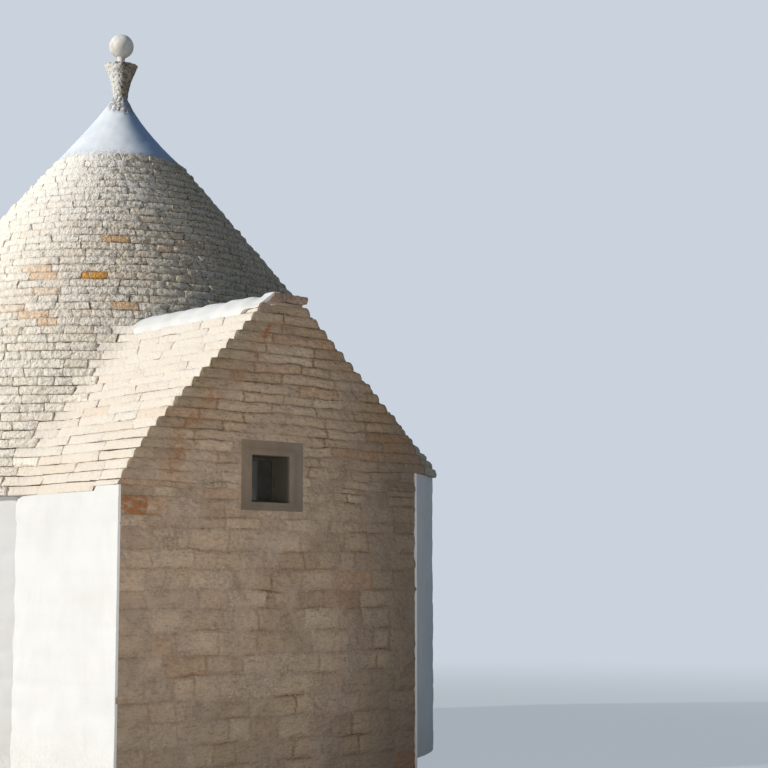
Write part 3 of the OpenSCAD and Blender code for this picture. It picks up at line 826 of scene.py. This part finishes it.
def stone_shapes(starts, ends, slant, heights):
    """Rows of slabs, each a closed tube of a few sections: distance along the row, depth behind the face
    and height above the bed. The section is a face with rubbed edges, a top, a back and a bed. The first
    and last sections are drawn back by the nose to round the corners, the ends slant, and the face and
    the beds are uneven."""
    count, length = len(starts), ends - starts
    corner = np.minimum(0.016, length * 0.2) * 0.35
    inner = length * np.linspace(0.28, 0.72, sections - 4)[:, None]
    along = np.concatenate([[0 * length, corner], inner, [length - corner, length]]).T
    share = (along / length[:, None])[..., None]
    up = np.broadcast_to(slab_profile[:, 1], (count, sections, ring))
    back = np.broadcast_to(np.minimum(slab_profile[:, 0], slab_depth), up.shape).copy()
    round_off = slab_nose * np.array([1, 0.25] + [0] * (sections - 4) + [0.25, 1])
    back += round_off[:, None] * slab_front
    back += slab_front * np.abs(slab_draw.normal(0, slab_rough, back.shape)) * 0.8
    skew = slab_draw.uniform(-1, 1, (count, 1, 1)) * slab_rough * (share - 0.5)
    back += slab_front * (skew + slab_rough)
    up = np.clip(up + slab_front * slab_draw.normal(0, slab_rough * 9, up.shape), 0, 1)
    up[:, [0, -1]] = 0.5 + (up[:, [0, -1]] - 0.5) * slab_draw.uniform(0.86, 0.98, (count, 2, 1))
    lean = slant[:-1, None, None] * (1 - share) + slant[1:, None, None] * share
    run = starts[:, None, None] + along[..., None] + lean * (up - 0.5) * heights[:, None, None]
    run = run + slab_draw.normal(0, slab_rough * 0.6, run.shape) * slab_front
    return run, np.maximum(back, 0.0), up * heights[:, None, None]


def run_length(line):
    """Distance along a line at each of its points."""
    return np.concatenate([[0], np.cumsum(np.linalg.norm(np.diff(line, axis=0), axis=1))])


def follow(along, gone, line):
    """Both coordinates of a line at given distances along it."""
    return [np.interp(along, gone, line[:, k]) for k in (0, 1)]


def soft_path(*pieces):
    """Evenly spaced points on a plan line made of pieces, its corners rounded by a running mean."""
    points = np.concatenate(pieces)
    gone = run_length(points)
    even = np.linspace(0, gone[-1], max(int(gone[-1] / path_step), 8))
    line = np.stack(follow(even, gone, points), -1)
    width = int(valley_softness / path_step)
    before = line[:1] + (line[:1] - line[1:2]) * np.arange(width, 0, -1)[:, None]
    after = line[-1:] + (line[-1:] - line[-2:-1]) * np.arange(1, width + 1)[:, None]
    padded = np.concatenate([before, line, after])
    mean = np.ones(2 * width + 1) / (2 * width + 1)
    return np.stack([np.convolve(padded[:, k], mean, "valid") for k in (0, 1)], -1)


def arc(radius, start, end):
    """Points on a circle about the cone's axis, from one angle to another."""
    angle = np.linspace(start, end, max(int(abs(end - start) * radius / path_step), 3))
    return about_axis(angle, radius, 0)[:, :2]


def straight(start, end):
    """Points on a straight line."""
    share = np.linspace(0, 1, 40)[:, None]
    return np.array(start) * (1 - share) + np.array(end) * share


def course_paths(i):
    """Plan lines of one course, each with the length of it that lies on the wing at either end."""
    radius, turn = cone_radius(i), 2 * math.pi
    if i >= wing_courses:
        start = slab_draw.uniform(0, turn)
        return [(arc(radius, start, start - turn), 0.0, 0.0)]
    left, right = wing_edge(0, i), wing_edge(1, i)
    left_valley, right_valley = -math.acos(left / radius), -math.acos(right / radius)
    left_y, right_y = radius * math.sin(left_valley), radius * math.sin(right_valley)
    left_length, right_length = left_y - gable_end, right_y - gable_end
    on_left = straight((left, gable_end), (left, left_y - 0.02))
    on_right = straight((right, right_y - 0.02), (right, gable_end))
    if i >= eave_courses:
        whole = soft_path(on_left, arc(radius, left_valley, right_valley - turn), on_right)
        return [(whole, left_length, right_length)]
    missing = missing_angle(i)
    paths = [(soft_path(on_left, arc(radius, left_valley, missing - turn)), left_length, 0.0)]
    if i >= right_eave_course and -missing > right_valley:
        paths.append((soft_path(arc(radius, -missing, right_valley), on_right), 0.0, right_length))
    elif i >= right_eave_course:
        wing_only = soft_path(straight((right, right_y + 0.06), (right, gable_end)))
        paths.append((wing_only, 0.0, right_length))
    return paths


def bed_sag(x, y, z):
    """How far the cone's beds stray from level: slow waves round it that fade out at eave and top."""
    angle = np.arctan2(y, x)
    wave = 0.005 * np.sin(3 * angle + z * 2.1) + 0.004 * np.sin(7 * angle - z * 5.3)
    return wave * np.clip((z - first_course_z - 0.1) / 0.6, 0, 1) * np.clip((sag_top - z) / 0.3, 0, 1)


slab_sets = {}
band_ends = [round(eave_courses + (cone_courses - eave_courses) * k / bands) for k in range(1, bands + 1)]
for i in range(cone_courses):
    longer = longer_eave if i < 2 else (longer_low if i < 7 else 1.0)
    band = "eaves_courses"
    if i >= eave_courses:
        band = f"cone_courses_{1 + sum(i >= end for end in band_ends)}"
    for line, left_length, right_length in course_paths(i):
        gone = run_length(line)
        length = gone[-1]
        heading = np.gradient(line, axis=0)
        heading /= np.linalg.norm(heading, axis=1, keepdims=True)
        knots = np.array([0, left_length / longer_wing, (length - left_length - right_length) / longer,
                          right_length / longer_wing])
        real = np.array([0, left_length, length - right_length, length])
        joints = np.interp(cut_row(knots.sum(), 0.13, 0.30, slab_draw), np.cumsum(knots), real)
        number = len(joints) - 1
        slant = slab_draw.uniform(-0.3, 0.3, number + 1)
        slant[[0, -1]] = 0
        opening = slab_draw.uniform(0.0005, 0.0025, number + 1)
        opening[[0, -1]] = slab_draw.uniform(0.001, 0.003, 2)
        tall = course_height - slab_draw.uniform(0.002, 0.008, number)
        lift = np.zeros(number)
        if i == 0 and left_length:
            joints[np.argmin(np.abs(joints - notch_length))] = notch_length
            lift[joints[1:] < notch_length + 0.01] = notch_height
        tall = tall - lift
        middle = (joints[:-1] + joints[1:]) / 2
        on_left, on_right = middle < left_length, middle > length - right_length
        on_wing = on_left | on_right
        run, back, up = stone_shapes(joints[:-1] + opening[:-1], joints[1:] - opening[1:], slant, tall)
        leans = np.where(on_wing, slab_lean, 0.006) + slab_draw.uniform(-0.006, 0.006, number)
        set_back = slab_draw.uniform(0, 0.012, number)
        back = back + set_back[:, None, None] + (leans / tall)[:, None, None] * up
        back = np.maximum(back - on_wing[:, None, None] * 0.6 * slab_profile[:, 0] * slab_front, 0)
        spot, side = follow(run, gone, line), follow(run, gone, heading)
        x = spot[0] + side[1] * back
        y = np.maximum(spot[1] - side[0] * back, gable_end)
        z = first_course_z + i * course_height + 0.001 + lift[:, None, None] + up
        z = z + bed_sag(x, y, z)
        spot, side = follow(middle, gone, line), follow(middle, gone, heading)
        angle = np.degrees(np.arctan2(spot[1], spot[0]))
        facing = side[0] * math.sin(north) - side[1] * math.cos(north)
        rust = np.where(slab_draw.uniform(size=number) < 0.05, slab_draw.uniform(0.05, 0.35, number), 0.0)
        for rusty_angle, rusty_course, strength in rusty_slabs:
            if rusty_course == i:
                rust[np.argmin(np.abs(angle - rusty_angle))] = strength
        end = np.zeros((number, sections))
        end[0, 0] = left_length > 0
        end[-1, -1] = right_length > 0
        plain = [slab_draw.uniform(0, 1, number), rust, facing, on_left]
        numbers = np.stack([*(values[:, None] * np.ones(sections) for values in plain), end])
        for chosen, name in ((~on_wing, band), (on_left, "wing_roof_left"), (on_right, "wing_roof_right")):
            if chosen.any():
                slab_sets.setdefault(name, []).append((np.stack([x, y, z], -1)[chosen], numbers[:, chosen]))

slabs = Finish("roof_slabs", Roughness=0.9, Specular_IOR_Level=0.25)
cloud = slabs.noise(1.3, 4)
pits = slabs.noise(25, 3, 0.6)
grain = slabs.noise(75, 3, 0.7)
slab_layers = slabs.noise(13, 3, 0.6, 4.5)
slab_z = slabs.along("Z")
facing_north = slabs.own("north")
wing_slab = slabs.own("wing")
cone_slab = 1 - wing_slab
upper = slab_z.ease(3.5, 4.6)
fleck = pits.ease(0.50, 0.66)
lichen = facing_north.ease(-0.30, 0.70)
# Masks for painted light and shade on the cone: the side turned from the sun, and the band where its light
# grazes the slabs.
turned_from_sun = facing_north.ease(-0.72, -0.14)
grazing_light_side = turned_from_sun * (0.45 + upper * 0.55)
# Dark pits on the cone where the sun grazes and beyond: painted shade in the pits.
painted_pit_shade = (1 - pits.ease(0.38, 0.50)) * facing_north.ease(-0.48, -0.02)
painted_pit_shade = painted_pit_shade * cone_slab * (0.5 + upper * 0.5)
joint_line = slabs.own("joint") * grain.ease(0.25, 0.6)
# Dark slab joints: dirt, and more where the sun grazes as painted shade.
joint_dirt_and_shade = (0.18 + grazing_light_side * 0.52) * (1 - wing_slab * 0.5)
limed_film = wing_slab * (0.35 + slab_z.ease(2.9, 3.6) * 0.65) * slab_layers.ease(0.32, 0.52)
cone_lime = cone_slab * slab_z.ease(4.4, 5.6) * (1 - lichen) * pits.ease(0.35, 0.5)
ochre_end = slabs.along("X").ease(-0.9, -0.5) * grain.ease(0.45, 0.6)
end_colour = slabs.layers(
    (188, 164, 134), (cloud.ease(0.35, 0.65), (160, 144, 108)),
    (fleck * 0.7, (116, 98, 70)), (ochre_end * 0.75, (172, 120, 52)))
colour = slabs.layers(
    (243, 227, 204), (slabs.own("tone"), (251, 243, 230)),
    (cloud.ease(0.35, 0.7) * 0.5, (250, 243, 233)),
    # Paler on the side the sun lights: painted light.
    ((1 - grazing_light_side) * cone_slab * 0.9, (253, 246, 233)),
    (slab_layers.ease(0.55, 0.75) * 0.25, (214, 190, 158)),
    (slabs.own("rust") * pits.ease(0.25, 0.55), (228, 158, 48)),
    # Dark flecks: real specks, and more where the sun grazes as painted shade in the pits.
    (fleck * (0.05 + grazing_light_side * 0.25), (160, 140, 108)),
    # Painted shade in the pits.
    (painted_pit_shade * 0.66, (118, 98, 64)),
    (lichen * (0.55 + fleck * 0.35) * 0.9, (110, 99, 76)),
    # Dark joint lines: dirt, with painted shade where the sun grazes.
    (joint_line * joint_dirt_and_shade, (116, 98, 76)),
    ((limed_film + cone_lime) * 0.75, (246, 242, 235)),
    (wing_slab * 0.5, (216, 204, 188)),
    (slabs.own("end"), end_colour))
bumps = pits + grain * 0.15 + slab_layers * 0.3
slabs = slabs.feed(colour, bumps * (0.58 + turned_from_sun * 0.67) * (1 - lichen * 0.7), 0.036)
slab_names = {"eaves_courses": "eaves_slabs", "wing_roof_left": "wing_slabs_left",
              "wing_roof_right": "wing_slabs_right"}
# Top and bottom edges of each slab face, for its dark joint lines: dirt, with painted shade added where the
# sun grazes.
edge_dirt_and_shade = np.where(slab_front, np.abs(2 * slab_profile[:, 1] - 1) ** 6, 1.0)
for name, courses in slab_sets.items():
    places = np.concatenate([shapes for shapes, numbers in courses])
    numbers = np.concatenate([numbers for shapes, numbers in courses], 1)[..., None] * np.ones(ring)
    carried = dict(zip(("tone", "rust", "north", "wing", "end"), numbers))
    carried["joint"] = edge_dirt_and_shade * np.ones((len(places), sections, 1))
    piece = make_mesh(slab_names.get(name, name.replace("courses", "slabs")), *tubes(places, -1), carried)
    fit(piece, slabs, "roof_slabs", name)


# Ridge of the wing: a saddle of lime over the topmost slabs, rounded by hand and washed white, with
# ragged edges. It runs back to the cone from the cap stone, behind which it rises to the right.
ridge_low, ridge_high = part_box("ridge_capping")
saddle_columns, saddle_rows = 24, 60
saddle_front = 0.016
left_lap = 0.070
climb = 0.12
across = np.linspace(0, 1, saddle_columns)[:, None]
along = np.linspace(0, 1, saddle_rows)
saddle_length = ridge_high.y - 0.02 - cap_low.y - saddle_front
saddle_y = cap_low.y + saddle_front + saddle_length * along + 0 * across
ragged = 0.012 * np.sin(along * 41) + 0.010 * np.sin(along * 23 + 1.0)
near_cap = np.clip((cap_high.y + climb - saddle_y[0]) / climb, 0, 1)
saddle_left = ridge_low.x - left_lap + ragged
saddle_right = ridge_high.x + 0.01 - ragged + (cap_low.x + 0.150 - ridge_high.x) * near_cap
saddle_x = saddle_left + (saddle_right - saddle_left) * across
dome = 0.105 * np.sin(math.pi * np.clip(across * 0.94 + 0.03, 0, 1)) ** 0.6
dome = dome - 0.050 * np.clip(1 - across / 0.35, 0, 1) ** 1.5
ramp = 0.185 * across - 0.022
saddle_z = ridge_low.z - 0.014 + dome * (1 - near_cap) + ramp * near_cap
saddle = np.stack([saddle_x, saddle_y, saddle_z], -1)
saddle[..., 2] += 0.006 * lumps(saddle, 0.2, 31) + 0.003 * lumps(saddle, 0.07, 32)
saddle[..., 2] = np.minimum(saddle[..., 2], ridge_high.z + 0.014)
saddle_bed = saddle.copy()
saddle_bed[..., 2] = np.minimum(ridge_low.z - 0.13 + 0.125 * near_cap, saddle[..., 2] - 0.006)
saddle, saddle_bed = (grid[::-1].transpose(1, 0, 2) for grid in (saddle, saddle_bed))
fit(make_mesh("ridge_lime", *skin(saddle, saddle_bed)), limewash, "limewash", "ridge_capping")


# Cap stone at the top of the gable: a squared grey block and a longer slab beside it that stands out
# to the right, bedded on lime. It holds the end of the ridge down. The block's left end slants.
cap_split = cap_low.x + 0.17
cap_rise = 0.012
cap_slant = 0.070
cap_parts = [block((cap_low.x + 0.030, cap_low.y, cap_low.z + 0.008),
                   (cap_split, cap_high.y, cap_high.z + cap_rise), 0.012, 0.035, 0.008, 91),
             block((cap_split + 0.006, cap_low.y + 0.004, cap_low.z + 0.014),
                   (cap_high.x + 0.05, cap_high.y, cap_high.z + cap_rise), 0.016, 0.035, 0.010, 92)]
cap_block = cap_parts[0][0]
slanted = np.clip((cap_block[:, 2] - cap_low.z) / (cap_high.z - cap_low.z), 0, 1)
cap_block[:, 0] += cap_slant * slanted * (cap_split - cap_block[:, 0]) / (cap_split - cap_low.x)
cap_bed = block((cap_low.x + 0.02, cap_low.y + 0.006, cap_low.z - 0.012),
                (cap_high.x - 0.01, cap_high.y, cap_low.z + 0.016), 0.006, 0.030, 0.004, 93)
fit(make_mesh("gable_cap_bed", *cap_bed), mortar, "rubble")
old_stone = Finish("old_limestone", Roughness=0.9, Specular_IOR_Level=0.2)
cloud = old_stone.noise(7, 4)
grain = old_stone.noise(45, 4, 0.7)
colour = old_stone.layers(
    (196, 170, 148), (cloud.ease(0.35, 0.65), (164, 140, 122)),
    (grain.ease(0.48, 0.62) * 0.7, (108, 94, 80)))
old_stone = old_stone.feed(colour, grain + cloud, 0.006)
fit(make_mesh("gable_cap_stones", *join_parts(cap_parts)), old_stone, "dressed_stone", "gable_capstone")


# Plaster cap: a smooth white cone of lime plaster over the last courses. Its foot laps unevenly onto
# the top slabs, and just under the neck the plaster has crumbled to the rough stone.
def turned(radii, heights, columns, relief, seed, size):
    """A turned form: radius against height, carried round the axis and moved in or out by soft lumps, and
    closed by a point at each end."""
    angle = np.linspace(0, 2 * math.pi, columns, endpoint=False)[:, None]
    shape = about_axis(angle, radii, heights)
    push = relief * lumps(shape, size, seed) + 0.5 * relief * lumps(shape, size * 0.4, seed + 1)
    shape = about_axis(angle, np.maximum(radii + push, 0.001), heights)
    rows = shape.shape[1]
    poles = [[0, 0, shape[:, 0, 2].min()], [0, 0, shape[:, -1, 2].max()]]
    start = np.arange(columns) * rows
    after = np.roll(start, -1)
    faces = grid_faces(columns, rows, (True, False)).tolist()
    foot = np.full(columns, columns * rows)
    faces += np.stack([after, start, foot], -1).tolist()
    faces += np.stack([start + rows - 1, after + rows - 1, foot + 1], -1).tolist()
    return np.concatenate([shape.reshape(-1, 3), poles]), faces


def draw_in(points, pits, nearest):
    """Moves points towards the axis by the depth of their pits, less where they are near it."""
    reach = np.maximum(np.hypot(points[:, 0], points[:, 1]), nearest)
    points[:, :2] *= (1 - pits / reach)[:, None]


plaster_low, plaster_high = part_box("plaster_cap")
plaster_height = plaster_high.z - plaster_low.z
neck_radius = 0.072
cap_power = 1.1
cap_rows, cap_columns = 56, 220
foot_depth = 0.09
foot_inset = 0.08
hollow_heading = math.radians(33)
patch_heading = math.radians(108)
cap_share = np.concatenate([[0, 0, 0.004, 0.012], np.linspace(0.022, 1, cap_rows)])
cap_angle = np.linspace(0, 2 * math.pi, cap_columns, endpoint=False)[:, None]
foot_circle = about_axis(cap_angle[:, 0], plaster_high.x, 0)
foot_ragged = lumps(foot_circle, 0.22, 51)[:, None] + 0.7 * lumps(foot_circle, 0.08, 52)[:, None]
foot_fade = np.clip(1 - cap_share / 0.05, 0, 1)
cap_radius = neck_radius + (plaster_high.x - neck_radius) * (1 - cap_share) ** cap_power
cap_radius = cap_radius + foot_fade * (0.022 + 0.016 * foot_ragged)
cap_height = plaster_low.z + plaster_height * cap_share - foot_fade * (0.062 + 0.014 * foot_ragged)
cap_height[:, 0] = plaster_low.z - foot_depth
hollow_side = np.clip(np.cos(cap_angle + hollow_heading), 0, 1) ** 1.5
cap_radius = cap_radius - 0.045 * hollow_side * np.sin(math.pi * cap_share) ** 0.8
cap_radius[:, 0] = plaster_high.x - foot_inset
patch_side = 0.5 + 0.5 * np.cos(cap_angle + patch_heading)
crumble = np.clip((cap_share - 0.95 + 0.27 * patch_side ** 1.5) / 0.08, 0, 1)
cap_points, cap_faces = turned(cap_radius, cap_height, cap_columns, 0.0025, 53, 0.25)
worn = np.append(crumble.ravel(), [0, 1])
cap_pits = np.clip(lumps(cap_points, 0.035, 55) + 0.4 * lumps(cap_points, 0.016, 56), -0.2, 1.2)
draw_in(cap_points, 0.009 * worn * cap_pits, 0.02)

plaster = Finish("lime_plaster", Roughness=0.88, Specular_IOR_Level=0.25)
cloud = plaster.noise(4, 4)
grain = plaster.noise(60, 4, 0.7)
pits = plaster.noise(34, 4, 0.6)
plaster_x, plaster_y = plaster.along("X"), plaster.along("Y")
from_axis = (plaster_x * plaster_x + plaster_y * plaster_y).sum("SQRT")
shaded = ((plaster_x * math.cos(north) + plaster_y * math.sin(north)) / from_axis).ease(-0.05, 0.55)
above_foot = plaster.along("Z").ease(plaster_low.z - 0.02, plaster_low.z + 0.10)
bare = plaster.own("worn") * pits.ease(0.40, 0.55)
colour = plaster.layers(
    (238, 242, 247), (cloud.ease(0.35, 0.7), (226, 232, 240)),
    (shaded * 0.85, (122, 150, 190)),
    ((1 - above_foot) * pits.ease(0.4, 0.6) * 0.6, (170, 162, 148)),
    (bare * 0.85, (142, 128, 110)))
plaster = plaster.feed(colour, cloud * 0.6 + grain * 0.3, 0.003)
fit(make_mesh("lime_plaster_cap", cap_points, cap_faces, {"worn": worn}), plaster, "plaster", "plaster_cap")


# Cup: one block of soft stone, carved as a flaring stem under a sharp rim and now pitted and grown
# over with lichen. Old lime is left on its sides. A shallow dome of lime on top beds the ball.
cup_low, cup_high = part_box("pinnacle_cup")
cup_power = 1.6
cup_rows, cup_columns = 44, 144
rim_radius = cup_high.x - 0.004
flare_height = 0.95 * (cup_high.z - cup_low.z)
cup_share = np.linspace(0, 1, cup_rows)
dome_share = np.linspace(0, 1, 14)[1:-1]
cup_radii = [[neck_radius * 0.9], neck_radius + (rim_radius - neck_radius) * cup_share ** cup_power,
             rim_radius * (1 - dome_share)]
cup_heights = [[cup_low.z - 0.02], cup_low.z + flare_height * cup_share,
               cup_low.z + flare_height + 0.016 * np.sin(dome_share * math.pi / 2) ** 0.7]
cup_line = np.concatenate(cup_radii), np.concatenate(cup_heights)
cup_points, cup_faces = turned(*cup_line, cup_columns, 0.0015, 61, 0.12)
cup_holes = np.clip(lumps(cup_points, 0.04, 65) + 0.6 * lumps(cup_points, 0.018, 66), 0, 1.5)
draw_in(cup_points, 0.010 * cup_holes, 0.06)
cup_stone = Finish("weathered_cup_stone", Roughness=0.93, Specular_IOR_Level=0.2)
pits = cup_stone.noise(30, 4, 0.65)
cloud = cup_stone.noise(9, 3)
lime_side = (cup_stone.along("Y") * 0.55 - cup_stone.along("X")).ease(-0.02, 0.05)
colour = cup_stone.layers(
    (190, 174, 156), (cloud.ease(0.35, 0.65), (160, 144, 126)),
    (pits.ease(0.48, 0.60) * 0.85, (92, 86, 76)),
    (lime_side * (1 - pits.ease(0.55, 0.7)), (232, 228, 220)))
cup_stone = cup_stone.feed(colour, pits + cloud * 0.5, 0.008)
fit(make_mesh("pinnacle_cup_stone", cup_points, cup_faces, crease=math.radians(60)),
    cup_stone, "weathered_stone", "pinnacle_cup")


# Ball: turned from one block, limed white, and set on a short neck of mortar.
ball_low, ball_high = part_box("pinnacle_ball")
ball_radius = ball_high.x
skin_radius = ball_radius - 0.0012
link_radius, link_flare = 0.035, 0.007
swing = np.linspace(math.asin((link_radius + link_flare) / ball_radius), math.pi, 60)[:-1]
ball_heights = ball_high.z - ball_radius - skin_radius * np.cos(swing)
link_share = np.linspace(0, 1, 8)
link_foot = ball_low.z - 0.006
ball_radii = [link_radius + link_flare * np.abs(2 * link_share - 1) ** 2, skin_radius * np.sin(swing)]
ball_heights = [link_foot + (ball_heights[0] - 0.002 - link_foot) * link_share, ball_heights]
ball_line = np.concatenate(ball_radii), np.concatenate(ball_heights)
ball_points, ball_faces = turned(*ball_line, 96, 0.0008, 71, 0.1)
limed = Finish("limed_ball", Roughness=0.85, Specular_IOR_Level=0.25)
cloud = limed.noise(14, 4)
grain = limed.noise(70, 4, 0.7)
colour = limed.layers(
    (240, 238, 234), (cloud.ease(0.35, 0.7), (222, 214, 200)),
    (grain.ease(0.6, 0.8) * 0.4, (178, 166, 146)))
limed = limed.feed(colour, grain * 0.4 + cloud, 0.002)
fit(make_mesh("pinnacle_ball_stone", ball_points, ball_faces), limed, "plaster", "pinnacle_ball")


# Studio: a pale floor that fades into a pale backdrop, soft light from the whole sky and one warm
# lamp like a sun from the left, a little behind the gable's plane, so that the gable is in open shade.
# A second, soft lamp stands for the light that sunny ground throws up at the gable.
def seen(finish):
    """1 for what is looked at, also in a reflection or through glass, and 0 for what only gives light."""
    camera, mirror, pane = (finish.add("LightPath", {}, {}, f"Is {kind} Ray")
                            for kind in ("Camera", "Glossy", "Transmission"))
    return (camera + mirror + pane).sum("MINIMUM", 1.0)


def lay_over(finish, share, other, output):
    """Mixes another shader over a finish's own by a share, and shows the mix."""
    mixed = {0: share, 1: Value(finish, finish.shader.outputs[0]), 2: other}
    mix = finish.add("MixShader", {}, mixed)
    finish.tree.links.new(mix.socket, finish.tree.nodes[output].inputs["Surface"])
    return finish.material


def lamp(name, kind, towards, **settings):
    """A lamp that stands in one direction as seen from what it lights."""
    light = bpy.data.objects.new(name, bpy.data.lights.new(name, kind))
    for setting, value in settings.items():
        setattr(light.data, setting, value)
    light.rotation_euler = towards.to_track_quat("Z", "Y").to_euler()
    bpy.context.scene.collection.objects.link(light)
    return light


backdrop = paint(202, 211, 221)
floor_reach = 90.0
floor_sides = 96
floor_circle = about_axis(np.linspace(0, 2 * math.pi, floor_sides, endpoint=False), floor_reach, 0.0)
studio_floor = make_mesh("studio_floor", floor_circle, [list(range(floor_sides))])
ground = Finish("studio_floor", Roughness=0.9, Specular_IOR_Level=0.1, Base_Color=paint(176, 178, 180))
ground_far = ground.add("VectorMath", {"operation": "LENGTH"}, {0: ground.place()}, "Value")
ground_glow = ground.add("Emission", {}, {"Color": backdrop, "Strength": 1.0})
ground_share = (0.6 + ground_far.ease(6.0, 22.0) * 0.4) * seen(ground)
studio_floor.data.materials.append(lay_over(ground, ground_share, ground_glow, "Material Output"))
sky = Finish("studio_sky", "worlds", "Background", Color=(0.56, 0.76, 1.0, 1.0), Strength=0.22)
sky_seen = sky.add("Background", {}, {"Color": backdrop})
bpy.context.scene.world = lay_over(sky, seen(sky), sky_seen, "World Output")

sun_heading, sun_height = math.radians(165), math.radians(21)
sun_towards = Vector((math.cos(sun_heading) * math.cos(sun_height),
                      math.sin(sun_heading) * math.cos(sun_height), math.sin(sun_height)))
lamp("studio_sun", "SUN", sun_towards, energy=3.35, angle=math.radians(1.5), color=(1.0, 0.965, 0.91))
bounce_from, bounce_aim = Vector((-3.2, -8.1, 1.7)), Vector((-1.3, -3.78, 2.1))
bounce = lamp("studio_bounce", "AREA", bounce_from - bounce_aim, size=2.4, energy=37,
              spread=math.radians(100), color=(1.0, 0.905, 0.82))
bounce.location = bounce_from
bounce.visible_camera = False
bounce.visible_glossy = False

camera_pitch, camera_heading = math.radians(6.545), math.radians(-41.942)
camera = bpy.data.objects.new("camera", bpy.data.cameras.new("camera"))
camera.data.sensor_width = 36.0
camera.data.lens = 82.67
camera.location = (-9.566, -14.601, 1.526)
camera.rotation_euler = (math.pi / 2 + camera_pitch, 0, camera_heading)
bpy.context.scene.collection.objects.link(camera)
bpy.context.scene.camera = camera
bpy.context.scene.view_settings.view_transform = "Standard"
